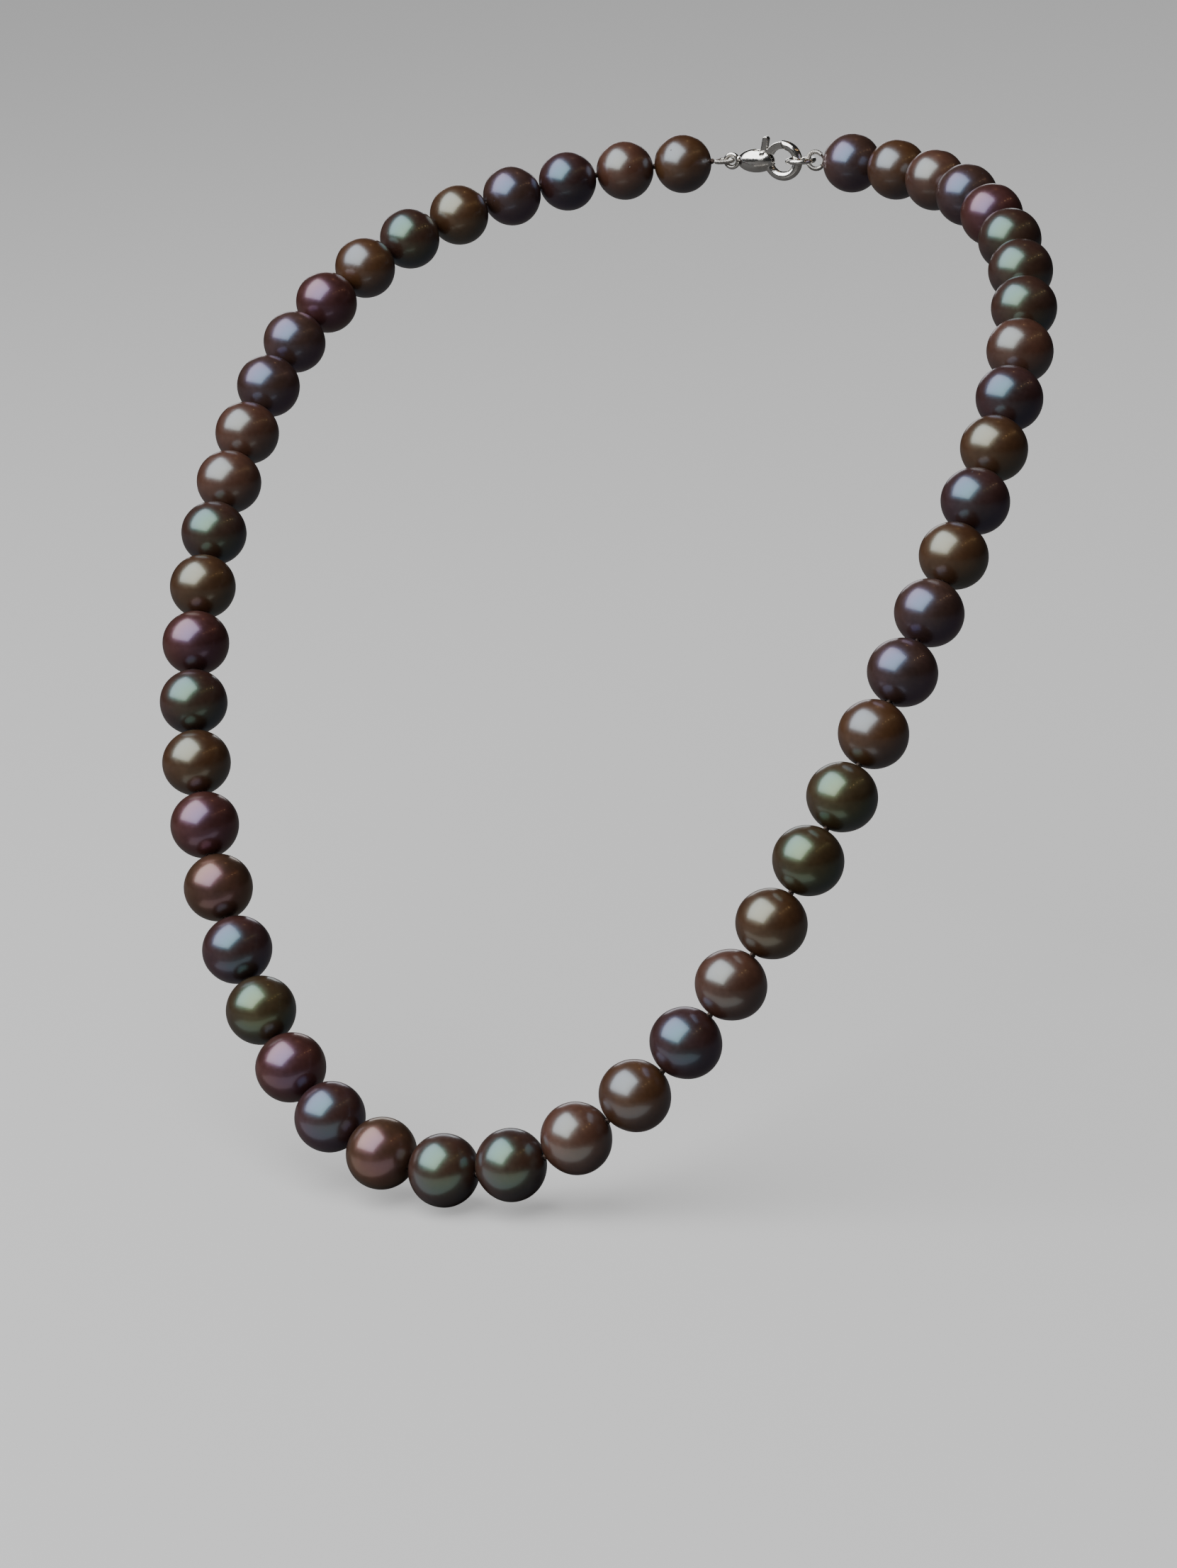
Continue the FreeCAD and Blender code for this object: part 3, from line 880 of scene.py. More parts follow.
@dataclass
class Pearls:
    """The forty-nine pearls, each grown a little off round.

    Args:
        strand: where they sit.
        palette: their materials.
        sides: faces round each pearl.
        crown_rows: rows of faces from one mouth to the other.
        mouth: radius of the opened mouth at the pearl's skin.
        seat: radius of the seat that takes half a knot.
        drill: radius of the hole.
        seat_rows: rows of faces down the seat.
        brim: angle below a knot's middle at which its seat starts, so that it has no lip.
        swelling: how far the slow swellings rise and fall.
        rings: how far the rings about the hole do.
        dimples: depth of the dimples.
        seed_step: from one pearl's seed to the next's.
    """

    strand: Strand
    palette: Palette
    sides: int = 96
    crown_rows: int = 52
    mouth: float = 0.66 * MM
    seat: float = 0.60 * MM
    drill: float = 0.40 * MM
    seat_rows: int = 4
    brim: float = math.radians(16.0)
    swelling: float = 0.20 * MM
    rings: float = 0.030 * MM
    dimples: float = 0.030 * MM
    seed_step: float = 3.7

    def outline(self, pearl: StrungPearl) -> list[tuple[float, float]]:
        """Half of a pearl's section: crown, seat, hole and seat again.

        Args:
            pearl: the pearl.

        Returns:
            (radius, height) all the way round.
        """
        wide, long = pearl.half_width, pearl.half_length
        top = math.acos(self.mouth / wide)
        crown = [-top + 2 * top * row / self.crown_rows for row in range(self.crown_rows + 1)]
        points = [(wide * math.cos(t), long * math.sin(t)) for t in crown]
        knot_height = pearl.bore_end + self.strand.seat_depth
        dip = math.acos(self.drill / self.seat)
        slope = (dip - self.brim) / self.seat_rows
        bowl = [self.brim + slope * row for row in range(self.seat_rows + 1)]
        seat = [(self.seat * math.cos(t), knot_height - self.seat * math.sin(t)) for t in bowl]
        points += seat
        points += [(radius, -height) for radius, height in reversed(seat)]
        return points

    def build(self) -> None:
        """Make every pearl and hang it on its body."""
        tree = growth_tree()
        for pearl in self.strand.pearls:
            slot = self.strand.slot_of[pearl.node]
            kind = Nacre(slot)
            if pearl.number < -DROP_STEPS:
                kind = LEFT_NECK_ORDER[-pearl.number - DROP_STEPS - 1]
            mesh = lathe(pearl.label, self.outline(pearl), self.sides)
            values = {
                "Material": self.palette.pearl(kind),
                "Seed": self.seed_step * pearl.number,
                "Swelling": self.swelling,
                "Rings": self.rings,
                "Dimples": self.dimples,
            }
            piece = grown(pearl.label, mesh, tree, values)
            turn = pearl.way.to_track_quat("Z", "Y").to_matrix().to_4x4()
            piece.data.transform(Matrix.Translation(pearl.centre) @ turn)
            finish_piece(piece, self.strand.body_of[pearl.node], kind.value, pearl.node)


# ---- silk and wire ------------------------------------------------------------------------

# A knot's shape, as shares of its radius: its cord, its spread and its height along the thread.
KNOT_CORD = 0.36
KNOT_SPREAD = 0.21
KNOT_HEIGHT = 1.7
KNOT_POINTS = 30


def wound_tree() -> bpy.types.NodeTree:
    """Strands wound round each run of a skeleton, and a tight knot at each marked point.

    The skeleton's points carry "yarn", the outer radius there, "knot", 1 at a knot, and "way",
    the direction of the thread through it.

    Returns:
        A geometry tree for a skeleton of edges and loose points.
    """
    wiring = new_group(
        "wound_strands",
        "GeometryNodeTree",
        {
            "Shape": "shape", "Material": "material", "Strands": "count", "Pitch": "number",
            "Lay": "number", "Strand": "number", "Step": "number", "Sides": "count",
            "Knot": "number",
        },
        {"Shape": "shape"},
    )
    given = wiring.node("NodeGroupInput").outputs
    marks = {
        label: wiring.node("GeometryNodeInputNamedAttribute", {0: label}, data_type=kind).outputs[0]
        for label, kind in (("yarn", "FLOAT"), ("knot", "FLOAT"), ("way", "FLOAT_VECTOR"))
    }
    knotted = wiring.math("GREATER_THAN", marks["knot"], 0.5)
    split = {0: given["Shape"], 1: knotted}
    parts = wiring.node("GeometryNodeSeparateGeometry", split, domain="POINT").outputs
    runs = wiring.node("GeometryNodeMeshToCurve", {0: parts[1]}).outputs[0]
    even = {"Curve": runs, "Length": given["Step"]}
    runs = wiring.node("GeometryNodeResampleCurve", even, mode="LENGTH").outputs[0]
    each = {"Geometry": runs, "Amount": given["Strands"]}
    copies = wiring.node("GeometryNodeDuplicateElements", each, domain="SPLINE")
    length = wiring.node("GeometryNodeSplineParameter").outputs["Length"]
    turns = wiring.math("DIVIDE", length, given["Pitch"])
    share = wiring.math("DIVIDE", copies.outputs[1], given["Strands"])
    angle = wiring.math("MULTIPLY", wiring.math("ADD", turns, share), FULL_TURN)
    normal = wiring.node("GeometryNodeInputNormal").outputs[0]
    tangent = wiring.node("GeometryNodeInputTangent").outputs[0]
    side = wiring.vector("CROSS_PRODUCT", tangent, normal)
    forth = wiring.scaled(normal, wiring.math("COSINE", angle))
    aside = wiring.scaled(side, wiring.math("SINE", angle))
    swing = wiring.vector("ADD", forth, aside)
    offset = wiring.scaled(swing, wiring.math("MULTIPLY", marks["yarn"], given["Lay"]))
    thick = wiring.math("MULTIPLY", marks["yarn"], given["Strand"])
    moved = {"Geometry": copies.outputs[0], "Offset": offset}
    wound = wiring.node("GeometryNodeSetPosition", moved).outputs[0]
    round_section = {"Resolution": given["Sides"], "Radius": 1.0}
    section = wiring.node("GeometryNodeCurvePrimitiveCircle", round_section).outputs[0]
    wound = swept(wiring, wound, section, thick)
    cord = wiring.math("MULTIPLY", given["Knot"], KNOT_CORD)
    knot = swept(wiring, knot_path(wiring, given["Knot"]), section, cord)
    aim = {"Vector": marks["way"]}
    turn = wiring.node("FunctionNodeAlignRotationToVector", aim, axis="Z").outputs[0]
    spots = wiring.node("GeometryNodeMeshToPoints", {0: parts[0]}).outputs[0]
    tied = {"Points": spots, "Instance": knot, "Rotation": turn}
    knots = wiring.node("GeometryNodeInstanceOnPoints", tied).outputs[0]
    joined = wiring.node("GeometryNodeJoinGeometry")
    for shape in (wound, knots):
        wiring.tree.links.new(shape, joined.inputs[0])
    shape = wiring.node("GeometryNodeRealizeInstances", {0: joined.outputs[0]}).outputs[0]
    shape = wiring.node("GeometryNodeSetShadeSmooth", {0: shape}).outputs[0]
    dressed = {"Geometry": shape, "Material": given["Material"]}
    shape = wiring.node("GeometryNodeSetMaterial", dressed).outputs[0]
    wiring.node("NodeGroupOutput", {0: shape})
    return wiring.tree


def swept(wiring: Wiring, path: Socket, section: Socket, radius: Socket) -> Socket:
    """A solid tube along a path.

    Args:
        wiring: the tree it is added to.
        path: the curve.
        section: the tube's section, of radius 1.
        radius: the tube's radius.

    Returns:
        The tube.
    """
    sized = wiring.node("GeometryNodeSetCurveRadius", {"Curve": path, "Radius": radius}).outputs[0]
    tube = wiring.node("GeometryNodeCurveToMesh", {"Curve": sized, "Profile Curve": section})
    tube.inputs["Fill Caps"].default_value = True
    if "Scale" in tube.inputs:
        radius_there = wiring.node("GeometryNodeInputRadius").outputs[0]
        wiring.tree.links.new(radius_there, tube.inputs["Scale"])
    return tube.outputs[0]


def knot_path(wiring: Wiring, size: Socket) -> Socket:
    """The closed path of a tight overhand knot, drawn up along Z.

    Args:
        wiring: the tree it is added to.
        size: the knot's radius.

    Returns:
        The path as a curve.
    """
    loop = {"Resolution": KNOT_POINTS, "Radius": 1.0}
    circle = wiring.node("GeometryNodeCurvePrimitiveCircle", loop).outputs[0]
    share = wiring.node("GeometryNodeSplineParameter").outputs["Factor"]
    angle = wiring.math("MULTIPLY", share, FULL_TURN)
    double = wiring.math("MULTIPLY", angle, 2.0)
    triple = wiring.math("MULTIPLY", angle, 3.0)
    one, two = wiring.math("SINE", angle), wiring.math("SINE", double)
    x = wiring.math("MULTIPLY_ADD", two, 2.0, one)
    one, two = wiring.math("COSINE", angle), wiring.math("COSINE", double)
    y = wiring.math("MULTIPLY_ADD", two, -2.0, one)
    z = wiring.math("MULTIPLY", wiring.math("SINE", triple), -KNOT_HEIGHT)
    place = wiring.node("ShaderNodeCombineXYZ", {0: x, 1: y, 2: z}).outputs[0]
    place = wiring.scaled(place, wiring.math("MULTIPLY", size, KNOT_SPREAD))
    drawn = {"Geometry": circle, "Position": place}
    return wiring.node("GeometryNodeSetPosition", drawn).outputs[0]


@dataclass
class Skeleton:
    """Runs and knots to wind thread or wire on."""

    points: list[Vector] = field(default_factory=list)
    edges: list[tuple[int, int]] = field(default_factory=list)
    yarn: list[float] = field(default_factory=list)
    knots: list[float] = field(default_factory=list)
    ways: list[Vector] = field(default_factory=list)

    def run(self, path: Sequence[Vector], radius: float) -> None:
        """Add a run of thread.

        Args:
            path: the points it passes through.
            radius: its outer radius.
        """
        first = len(self.points)
        for point in path:
            self.add(point, radius, 0.0, Vector((0, 0, 1)))
        self.edges += [(first + step, first + step + 1) for step in range(len(path) - 1)]

    def knot(self, point: Vector, way: Vector) -> None:
        """Add a knot on a thread that passes along way."""
        self.add(point, 0.0, 1.0, way)

    def add(self, point: Vector, radius: float, knot: float, way: Vector) -> None:
        """Add one point with its marks.

        Args:
            point: its place.
            radius: outer radius of the thread there.
            knot: 1 for a knot, 0 for a run.
            way: along the thread.
        """
        self.points.append(point)
        self.yarn.append(radius)
        self.knots.append(knot)
        self.ways.append(way)

    def mesh(self, name: str) -> bpy.types.Mesh:
        """The skeleton as a mesh that a geometry tree can read.

        Args:
            name: the mesh's name.

        Returns:
            The mesh, with its marks as attributes.
        """
        mesh = bpy.data.meshes.new(name)
        mesh.from_pydata(self.points, self.edges, [])
        for label, values in (("yarn", self.yarn), ("knot", self.knots)):
            mesh.attributes.new(label, "FLOAT", "POINT").data.foreach_set("value", values)
        ways = [part for way in self.ways for part in way]
        mesh.attributes.new("way", "FLOAT_VECTOR", "POINT").data.foreach_set("vector", ways)
        return mesh


@dataclass(frozen=True)
class Winding:
    """How strands are wound.

    Args:
        strands: how many.
        pitch: length of one turn.
        lay: radius that a strand's middle winds at, as a share of the yarn's.
        strand: a strand's radius, as a share of the yarn's.
        step: length between the points of a strand.
        sides: faces round a strand.
    """

    strands: int
    pitch: float
    lay: float
    strand: float
    step: float
    sides: int

    def values(self, material: bpy.types.Material, knot: float) -> dict:
        """The inputs of the wound strands tree."""
        return {
            "Material": material, "Strands": self.strands, "Pitch": self.pitch, "Lay": self.lay,
            "Strand": self.strand, "Step": self.step, "Sides": self.sides, "Knot": knot,
        }


@dataclass
class Stringing:
    """The knotted silk, and the wire coil that guards its loop at each end of the strand."""

    strand: Strand
    palette: Palette
    silk_radius: float = 0.30 * MM
    loop_silk_radius: float = 0.20 * MM
    knot_size: float = 0.46 * MM
    knot_clearance: float = 0.58 * MM
    gimp_radius: float = 0.35 * MM
    gimp_loop_radius: float = 1.25 * MM
    gimp_open: float = math.radians(80)
    loop_points: int = 48
    silk_winding: Winding = Winding(2, 1.7 * MM, 0.48, 0.54, 0.16 * MM, 6)
    wire_winding: Winding = Winding(1, 0.155 * MM, 0.79, 0.205, 0.011 * MM, 6)

    def build(self) -> None:
        """Make the silk of every body, then the two wire coils."""
        tree = wound_tree()
        silk = self.silk_winding.values(self.palette.silk(), self.knot_size)
        wire = self.wire_winding.values(self.palette.metal(Metal.GIMP_WIRE), self.knot_size)
        centre = Skeleton()
        left, right = self.strand.knot(-1), self.strand.knot(1)
        centre.run([self.short_of(left, right), self.short_of(right, left)], self.silk_radius)
        pieces = {"silk_centre": centre}
        for number in range(1, DROP_STEPS + 1):
            step = Skeleton()
            for sign in (-1, 1):
                low = self.strand.knot(sign * number)
                high = self.strand.knot(sign * (number + 1))
                step.run([low, self.short_of(high, low)], self.silk_radius)
                step.knot(low, high - low)
            pieces[f"silk_pair_{number:02d}"] = step
        pieces["silk_neck"] = self.neck()
        for node, skeleton in pieces.items():
            piece = grown(f"{node}_thread", skeleton.mesh(node), tree, silk)
            finish_piece(piece, self.strand.body_of[node], "silk", node)
        for side in ("left", "right"):
            node = f"gimp_{side}"
            coil = Skeleton()
            coil.run(self.loop(side, self.gimp_open), self.gimp_radius)
            piece = grown(f"{node}_coil", coil.mesh(node), tree, wire)
            finish_piece(piece, self.strand.body_of[node], Metal.GIMP_WIRE.value, node)

    def short_of(self, point: Vector, neighbour: Vector) -> Vector:
        """Where a run stops, clear of a knot that it turns about."""
        return point + (neighbour - point).normalized() * self.knot_clearance

    def neck(self) -> Skeleton:
        """The silk round the neck, from the last hinge knots to the loops in the wire coils.

        Returns:
            Its skeleton.
        """
        silk = Skeleton()
        for sign, side in ((-1, "left"), (1, "right")):
            for number in range(DROP_STEPS + 1, PEARLS_PER_SIDE + 2):
                before = self.strand.knot(sign * (number - 1))
                here = self.strand.knot(sign * number)
                silk.knot(here, here - before)
                if number > DROP_STEPS + 1:
                    silk.run([before, here], self.silk_radius)
            loop = self.loop(side, 0.0)
            last = self.strand.knot(sign * (PEARLS_PER_SIDE + 1))
            silk.run([last, *loop], self.loop_silk_radius)
        return silk

    def loop(self, side: str, gap: float) -> list[Vector]:
        """The path of an end loop, from one side of its gap towards the knot to the other.

        Args:
            side: "left" or "right".
            gap: the angle left open towards the knot.

        Returns:
            The points of the path, read from the wire coil's CAD solid.
        """
        low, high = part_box(f"gimp_{side}")
        flat = high.z - low.z < high.y - low.y
        middle = (low + high) / 2
        outer = self.gimp_loop_radius + self.gimp_radius
        if side == "left":
            middle.x = high.x - outer
            towards_knot = Vector((-1, 0, 0))
        else:
            middle.x = low.x + outer
            towards_knot = Vector((1, 0, 0))
        across = Vector((0, 1, 0)) if flat else Vector((0, 0, 1))
        path = []
        for step in range(self.loop_points + 1):
            angle = gap / 2 + (FULL_TURN - gap) * step / self.loop_points
            arm = towards_knot * math.cos(angle) + across * math.sin(angle)
            path.append(middle + arm * self.gimp_loop_radius)
        return path


# ---- clasp --------------------------------------------------------------------------------

@dataclass
class Clasp:
    """The lobster clasp: cast body, sprung lever, rivet, leaf spring and jump ring.

    Args:
        strand: says which body each part rides on.
        palette: the metals.
        grain: how finely a casting is made, in millimetres.
        rounding: how many times its edges are softened.
        weld: how near two points of a CAD mesh are one, in millimetres.
        dome_rows: rows of faces on a rivet's head.
        fold: radius of the spring's fold, in thicknesses of its leaf.
        fold_steps: how many faces the fold has.
        ring_cut_at: where round the ring its saw cut is.
    """

    strand: Strand
    palette: Palette
    grain: float = 0.065
    rounding: int = 5
    pin_sides: int = 32
    pin_dome: float = 0.10 * MM
    spring_thickness: float = 0.11 * MM
    weld: float = 0.001
    dome_rows: int = 5
    fold: float = 0.8
    fold_steps: int = 8
    ring_gap: float = 0.03 * MM
    ring_points: int = 120
    ring_cut_at: float = math.radians(40)

    def build(self) -> None:
        """Make the five parts of the clasp."""
        for node in ("clasp_body", "clasp_lever"):
            self.hand_over(self.cast(node), node, Metal.SILVER)
        self.hand_over(self.rivet(), "lever_pin", Metal.SILVER)
        self.hand_over(self.spring(), "lever_spring", Metal.SPRING_STEEL)
        self.hand_over(self.jump_ring(), "clasp_ring", Metal.SILVER)

    def hand_over(self, piece: bpy.types.Object, node: str, metal: Metal) -> None:
        """Give a part its metal and its body.

        Args:
            piece: the part.
            node: the CAD node that it stands for.
            metal: its metal.
        """
        piece.data.materials.clear()
        piece.data.materials.append(self.palette.metal(metal))
        piece.data.shade_smooth()
        finish_piece(piece, self.strand.body_of[node], metal.value, node)

    def cast(self, node: str) -> bpy.types.Object:
        """The CAD solid with its edges softened, as tumbling leaves a casting.

        Args:
            node: the CAD node.

        Returns:
            The casting.
        """
        mesh = frame["nodes"][node].data.copy()
        shape = bmesh.new()
        shape.from_mesh(mesh)
        bmesh.ops.remove_doubles(shape, verts=shape.verts, dist=self.weld * MM)
        shape.to_mesh(mesh)
        shape.free()
        mesh.transform(Matrix.Scale(PER_METRE, 4))
        start = placed(f"{node}_blank", mesh)
        remesh = start.modifiers.new("grain", "REMESH")
        remesh.mode = "VOXEL"
        remesh.voxel_size = self.grain
        soften = start.modifiers.new("tumbled", "SMOOTH")
        soften.factor = 0.5
        soften.iterations = self.rounding
        piece = baked(f"{node}_casting", start)
        piece.data.transform(Matrix.Scale(MM, 4))
        return piece

    def rivet(self) -> bpy.types.Object:
        """The lever's pin, with low domed heads.

        Returns:
            The rivet.
        """
        low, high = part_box("lever_pin")
        radius, half = (high.x - low.x) / 2, (high.y - low.y) / 2
        turns = [math.pi / 2 * row / self.dome_rows for row in range(self.dome_rows)]
        brim = half - self.pin_dome
        top = [(radius * math.cos(t), brim + self.pin_dome * math.sin(t)) for t in turns]
        outline = [(0.0, -half), *((r, -h) for r, h in reversed(top)), *top, (0.0, half)]
        mesh = lathe("lever_pin", outline, self.pin_sides)
        mesh.transform(Matrix.Translation((low + high) / 2) @ Matrix.Rotation(math.pi / 2, 4, "X"))
        return placed("lever_pin_rivet", mesh)

    def spring(self) -> bpy.types.Object:
        """A leaf folded back on itself in the floor of the slot, its free end curled.

        Returns:
            The spring.
        """
        low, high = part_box("lever_spring")
        thick = self.spring_thickness
        half = thick / 2
        bend = self.fold * thick
        start = Vector((high.x - thick, 0, low.z + half))
        middle = Vector((low.x + 2 * thick, 0, low.z + half + bend))
        rise = math.atan2(high.z - middle.z - 2 * bend, high.x - middle.x - thick)
        sweep = (math.pi - rise) / self.fold_steps
        turns = [-math.pi / 2 - sweep * step for step in range(self.fold_steps + 1)]
        folded = [middle + Vector((math.cos(t), 0, math.sin(t))) * bend for t in turns]
        tip = Vector((high.x - 1.5 * thick, 0, high.z - 1.2 * thick))
        curl = tip + Vector((0.9 * thick, 0, -0.15 * thick))
        path = [start, *folded, tip, curl]
        return placed("lever_spring_leaf", self.strip(path, low.y, high.y, thick))

    @staticmethod
    def strip(path: Sequence[Vector], near: float, far: float, thick: float) -> bpy.types.Mesh:
        """A bent strip along a path in the XZ plane.

        Args:
            path: the middle of its thickness.
            near: y of its near edge.
            far: y of its far edge.
            thick: its thickness.

        Returns:
            The strip as a mesh, with its edges eased.
        """
        shape = bmesh.new()
        rings = []
        for place, point in enumerate(path):
            ahead = path[min(place + 1, len(path) - 1)] - path[max(place - 1, 0)]
            normal = Vector((-ahead.z, 0, ahead.x)).normalized() * (thick / 2)
            corners = ((normal, near), (normal, far), (-normal, far), (-normal, near))
            rings.append([shape.verts.new((point.x + n.x, y, point.z + n.z)) for n, y in corners])
        for one, two in zip(rings, rings[1:]):
            for corner in range(4):
                following = (corner + 1) % 4
                shape.faces.new((one[corner], one[following], two[following], two[corner]))
        shape.faces.new(rings[0])
        shape.faces.new(reversed(rings[-1]))
        bmesh.ops.recalc_face_normals(shape, faces=shape.faces)
        edges = {"geom": shape.edges, "affect": "EDGES", "clamp_overlap": True}
        bmesh.ops.bevel(shape, offset=thick / 6, segments=2, **edges)
        mesh = bpy.data.meshes.new("strip")
        shape.to_mesh(mesh)
        shape.free()
        return mesh

    def jump_ring(self) -> bpy.types.Object:
        """A ring of round wire, sawn through and closed again.

        Returns:
            The ring.
        """
        low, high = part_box("clasp_ring")
        middle = (low + high) / 2
        wire = (high.z - low.z) / 2
        radius = (high.x - low.x) / 2 - wire
        line = bpy.data.curves.new("ring_line", "CURVE")
        line.dimensions = "3D"
        line.bevel_depth = wire
        line.bevel_resolution = 6
        line.use_fill_caps = True
        path = line.splines.new("POLY")
        path.points.add(self.ring_points - 1)
        cut = self.ring_gap / radius
        for step, point in enumerate(path.points):
            share = step / (self.ring_points - 1)
            angle = self.ring_cut_at + cut / 2 + (FULL_TURN - cut) * share
            arm = Vector((math.cos(angle), math.sin(angle), 0)) * radius
            point.co = (*(middle + arm), 1)
        start = bpy.data.objects.new("ring_line", line)
        bpy.context.scene.collection.objects.link(start)
        return baked("clasp_ring_wire", start)


# ---- studio -------------------------------------------------------------------------------

@dataclass(frozen=True)
class Direction:
    """A direction from the necklace, in degrees round from the front and above the horizon."""

    azimuth: float
    height: float

    def vector(self) -> Vector:
        """The direction as an arrow.

        Returns:
            A vector of length 1.
        """
        turn, rise = math.radians(self.azimuth), math.radians(self.height)
        level = Vector((math.sin(turn), -math.cos(turn), 0)) * math.cos(rise)
        return level + Vector((0, 0, math.sin(rise)))


@dataclass
class Studio:
    """A pale floor, windows before and behind, small warm lamps, a weak fill and the camera.

    Args:
        middle: the point that the lights and the camera face.
        floor_height: the lowest point of the necklace, and floor_drop the floor's drop below it.
        floor_seen: the floor's colour to the eye, which also glows by floor_glow.
        floor_mirrored: the floor's colour in the pearls' reflections and in bounced light.
        window: where the large light is; its distance serves for back_window as well.
        rail_ends: where the rail of rail_lamps warm lamps starts and ends.
        spot: where one more lamp is.
        room_light: the even light on dull surfaces; room_mirrored the one in reflections, and
            room_seen what is added where the room itself is seen.
        strip: place of the low strip: across, ahead and above the floor.
        camera: where the camera is; it rolls by camera_roll and slides right and up.
    """

    middle: Vector
    floor_height: float
    daylight: Colour = (0.97, 0.985, 1.0)
    lamplight: Colour = (1.0, 0.60, 0.28)
    strip_light: Colour = (1.0, 0.97, 0.93)
    room_colour: Colour = (0.75, 0.76, 0.78)
    floor_size: float = 6.0
    floor_drop: float = 0.6 * MM
    floor_seen: Colour = (0.30, 0.297, 0.294)
    floor_glow: float = 0.37
    floor_mirrored: Colour = (0.075, 0.073, 0.072)
    window: Direction = Direction(-33.9, 52.6)
    window_distance: float = 0.91
    window_size: tuple[float, float] = (1.32, 1.22)
    window_power: float = 27.0
    back_window: Direction = Direction(206.0, 13.0)
    back_size: tuple[float, float] = (0.50, 0.25)
    back_power: float = 0.70
    rail_ends: tuple[Direction, Direction] = (Direction(60.4, 40.2), Direction(129.9, 32.3))
    rail_distance: float = 1.1
    rail_lamps: int = 5
    spot: Direction = Direction(169.8, 61.5)
    room_light: float = 0.10
    room_mirrored: float = 0.025
    room_seen: float = 0.37
    lamp_radius: float = 0.016
    lamp_power: float = 0.22
    strip: tuple[float, float, float] = (0.0, -0.104, 0.0006)
    strip_size: tuple[float, float] = (0.15, 0.044)
    strip_power: float = 0.0125
    camera: Direction = Direction(24.78, 15.21)
    camera_distance: float = 0.64674
    camera_roll: float = -3.85
    camera_slide: tuple[float, float] = (-0.00368, -0.02032)
    lens: float = 108.05

    def build(self) -> None:
        """Set up the floor, the lights and the camera."""
        self.lay_floor()
        self.hang_windows()
        self.hang_lamps()
        self.lay_strip()
        self.dim_room()
        self.stand_camera()

    def lay_floor(self) -> None:
        """A wide plain floor just under the lowest pearl."""
        half = self.floor_size / 2
        mesh = bpy.data.meshes.new("floor")
        corners = [(-half, -half, 0), (half, -half, 0), (half, half, 0), (-half, half, 0)]
        mesh.from_pydata(corners, [], [(0, 1, 2, 3)])
        mesh.transform(Matrix.Translation((0, 0, self.floor_height - self.floor_drop)))
        floor = placed("floor", mesh)
        material, wiring, shader = new_material("pale_floor")
        where = wiring.node("ShaderNodeTexCoord").outputs["Object"]
        cloud = wiring.ramp(wiring.noise(where, 2.0, 1.0, 3.0), 0.2, 0.8, 0.97, 1.0)
        tone = wiring.node("ShaderNodeCombineColor", {0: cloud, 1: cloud, 2: cloud}).outputs[0]
        seen = wiring.node("ShaderNodeLightPath").outputs["Is Camera Ray"]
        plain = wiring.mix(seen, self.floor_mirrored, self.floor_seen)
        colour = wiring.mix(1.0, plain, tone, "MULTIPLY")
        wiring.tree.links.new(colour, shader.inputs["Base Color"])
        glow = wiring.node("ShaderNodeCombineColor", {0: seen, 1: seen, 2: seen}).outputs[0]
        wiring.tree.links.new(glow, shader.inputs["Emission Color"])
        shader.inputs["Emission Strength"].default_value = self.floor_glow
        shader.inputs["Roughness"].default_value = 0.9
        shader.inputs["Specular IOR Level"].default_value = 0.1
        mesh.materials.append(material)

    def hang(
        self, name: str, kind: str, place: Vector, power: float, colour: Colour
    ) -> bpy.types.Object:
        """Add one light that faces the necklace and is not itself seen.

        Args:
            name: its name.
            kind: its kind.
            place: where it hangs.
            power: in watts.
            colour: its colour.

        Returns:
            The light.
        """
        light = bpy.data.lights.new(name, kind)
        light.energy = power
        light.color = colour
        holder = bpy.data.objects.new(name, light)
        holder.location = place
        holder.rotation_mode = "QUATERNION"
        holder.rotation_quaternion = (place - self.middle).to_track_quat("Z", "Y")
        holder.visible_camera = False
        bpy.context.scene.collection.objects.link(holder)
        return holder

    def panel(
        self, name: str, place: Vector, power: float, size: tuple[float, float], colour: Colour
    ) -> bpy.types.Object:
        """Add one flat light that faces the necklace.

        Args:
            name: its name.
            place: where it hangs.
            power: in watts.
            size: its width and height.
            colour: its colour.

        Returns:
            The light.
        """
        holder = self.hang(name, "AREA", place, power, colour)
        holder.data.shape = "RECTANGLE"
        holder.data.size, holder.data.size_y = size
        return holder

    def hang_windows(self) -> None:
        """The large soft light at the upper left, and a low one behind for the pearls' backs."""
        place = self.middle + self.window.vector() * self.window_distance
        self.panel("window", place, self.window_power, self.window_size, self.daylight)
        place = self.middle + self.back_window.vector() * self.window_distance
        behind = self.panel("back_window", place, self.back_power, self.back_size, self.daylight)
        behind.visible_diffuse = False

    def hang_lamps(self) -> None:
        """A rail of small warm lamps at the right, and one more behind."""
        start, end = (self.middle + way.vector() * self.rail_distance for way in self.rail_ends)
        places = [start.lerp(end, step / (self.rail_lamps - 1)) for step in range(self.rail_lamps)]
        places.append(self.middle + self.spot.vector() * self.rail_distance)
        for number, place in enumerate(places):
            lamp = self.hang(f"lamp_{number}", "POINT", place, self.lamp_power, self.lamplight)
            lamp.data.shadow_soft_size = self.lamp_radius

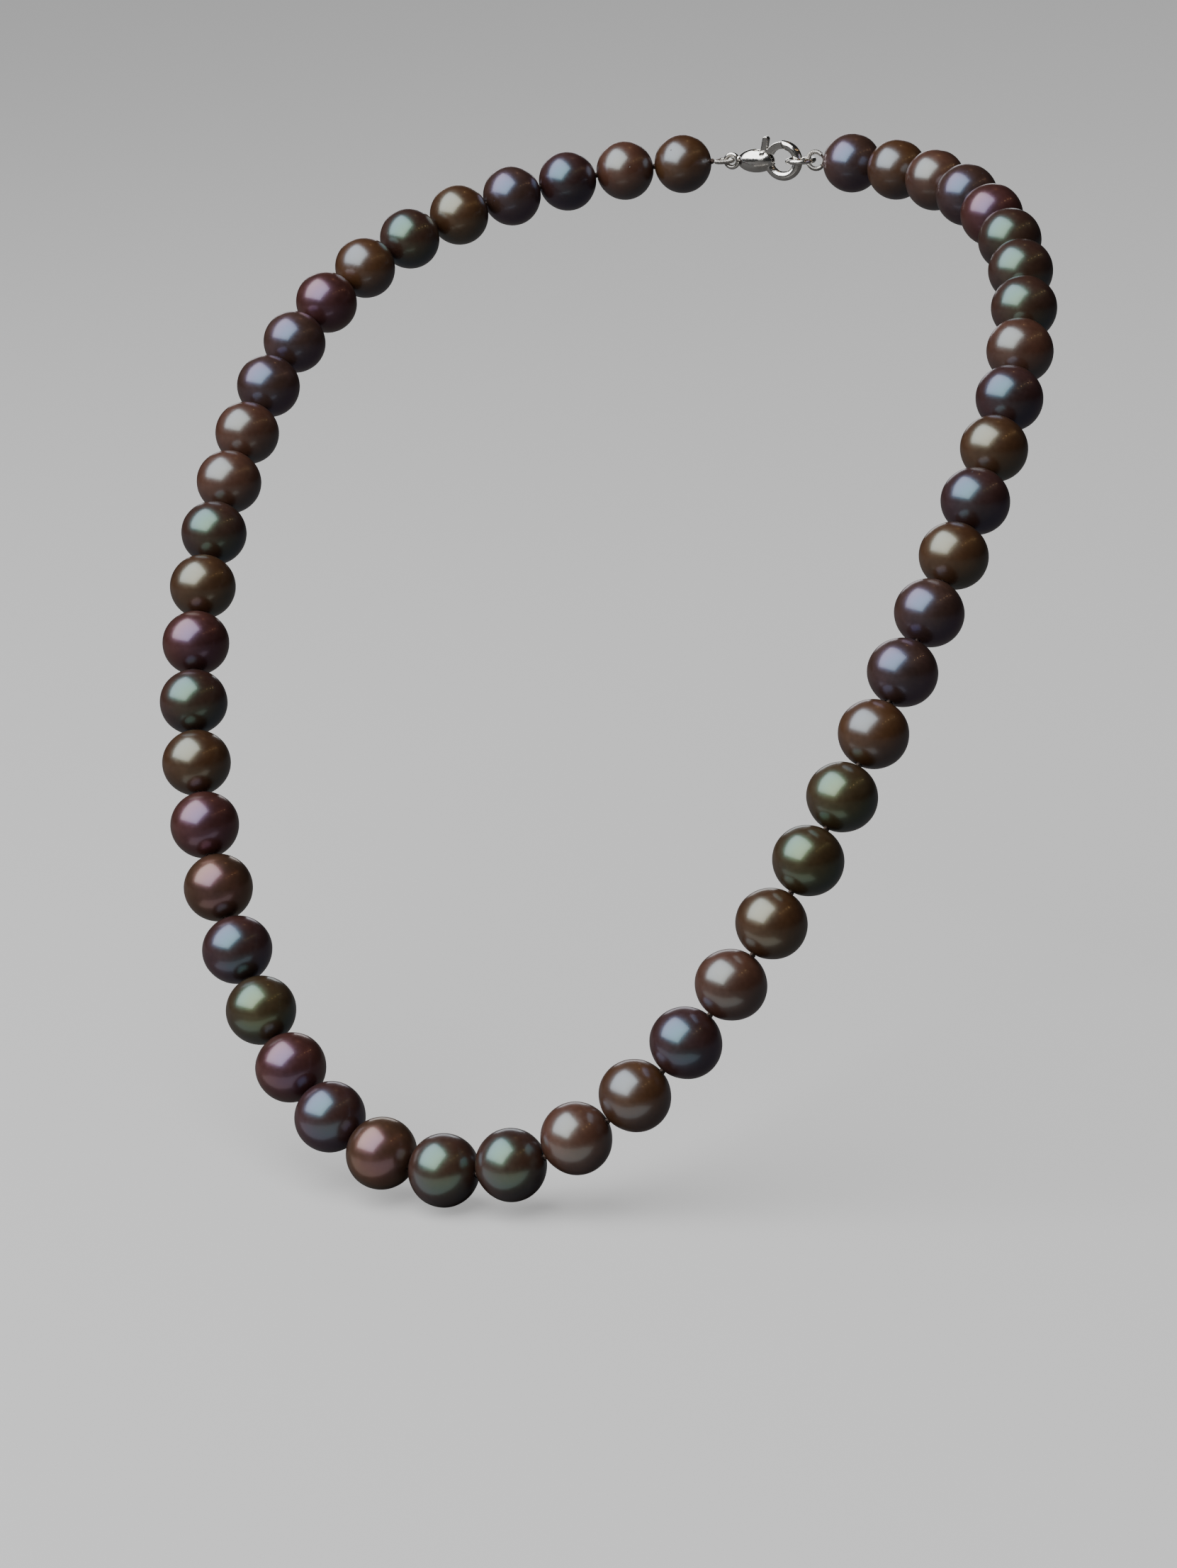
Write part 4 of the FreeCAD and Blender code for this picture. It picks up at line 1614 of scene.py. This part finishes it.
    def lay_strip(self) -> None:
        """A dim strip that lies in front and shines up, for a lower curve of light in a pearl."""
        across, ahead, lift = self.strip
        place = Vector((across, ahead, self.floor_height - self.floor_drop + lift))
        strip = self.panel("strip", place, self.strip_power, self.strip_size, self.strip_light)
        strip.rotation_quaternion = Vector((0, 0, -1)).to_track_quat("Z", "Y")

    def dim_room(self) -> None:
        """An even, weak light from all round, which the pearls hardly mirror."""
        world = bpy.data.worlds.new("room")
        world.use_nodes = True
        wiring = Wiring(world.node_tree)
        ray = wiring.node("ShaderNodeLightPath").outputs
        lit = wiring.ramp(ray["Is Glossy Ray"], 0.0, 1.0, self.room_light, self.room_mirrored)
        seen = wiring.math("MULTIPLY", ray["Is Camera Ray"], self.room_seen)
        strength = wiring.math("ADD", lit, seen)
        shine = {"Color": (*self.room_colour, 1.0), "Strength": strength}
        room = wiring.node("ShaderNodeBackground", shine)
        wiring.node("ShaderNodeOutputWorld", {"Surface": room.outputs[0]})
        bpy.context.scene.world = world

    def stand_camera(self) -> None:
        """A long lens, a little to the right of the front and above, and slightly tilted."""
        back = self.camera.vector()
        level = Vector((0, 0, 1)).cross(back).normalized()
        tilt = Matrix.Rotation(math.radians(self.camera_roll), 3, back)
        right = tilt @ level
        up = back.cross(right)
        holder = bpy.data.objects.new("camera", bpy.data.cameras.new("camera"))
        holder.data.lens = self.lens
        holder.data.sensor_width = 36.0
        holder.data.clip_start = 0.01
        place = self.middle + back * self.camera_distance
        place += right * self.camera_slide[0] + up * self.camera_slide[1]
        turn = Matrix((right, up, back)).transposed().to_4x4()
        holder.matrix_world = Matrix.Translation(place) @ turn
        bpy.context.scene.collection.objects.link(holder)
        bpy.context.scene.camera = holder


# ---- the whole necklace -------------------------------------------------------------------


def main() -> None:
    """Build the necklace from its strand outwards, then light it."""
    logging.basicConfig(level=logging.INFO, format="%(name)s %(message)s", stream=sys.stdout)
    strand = Strand().read()
    palette = Palette()
    Pearls(strand, palette).build()
    Stringing(strand, palette).build()
    Clasp(strand, palette).build()
    Studio((cad_low + cad_high) / 2, cad_low.z).build()


if __name__ == "__main__":
    main()
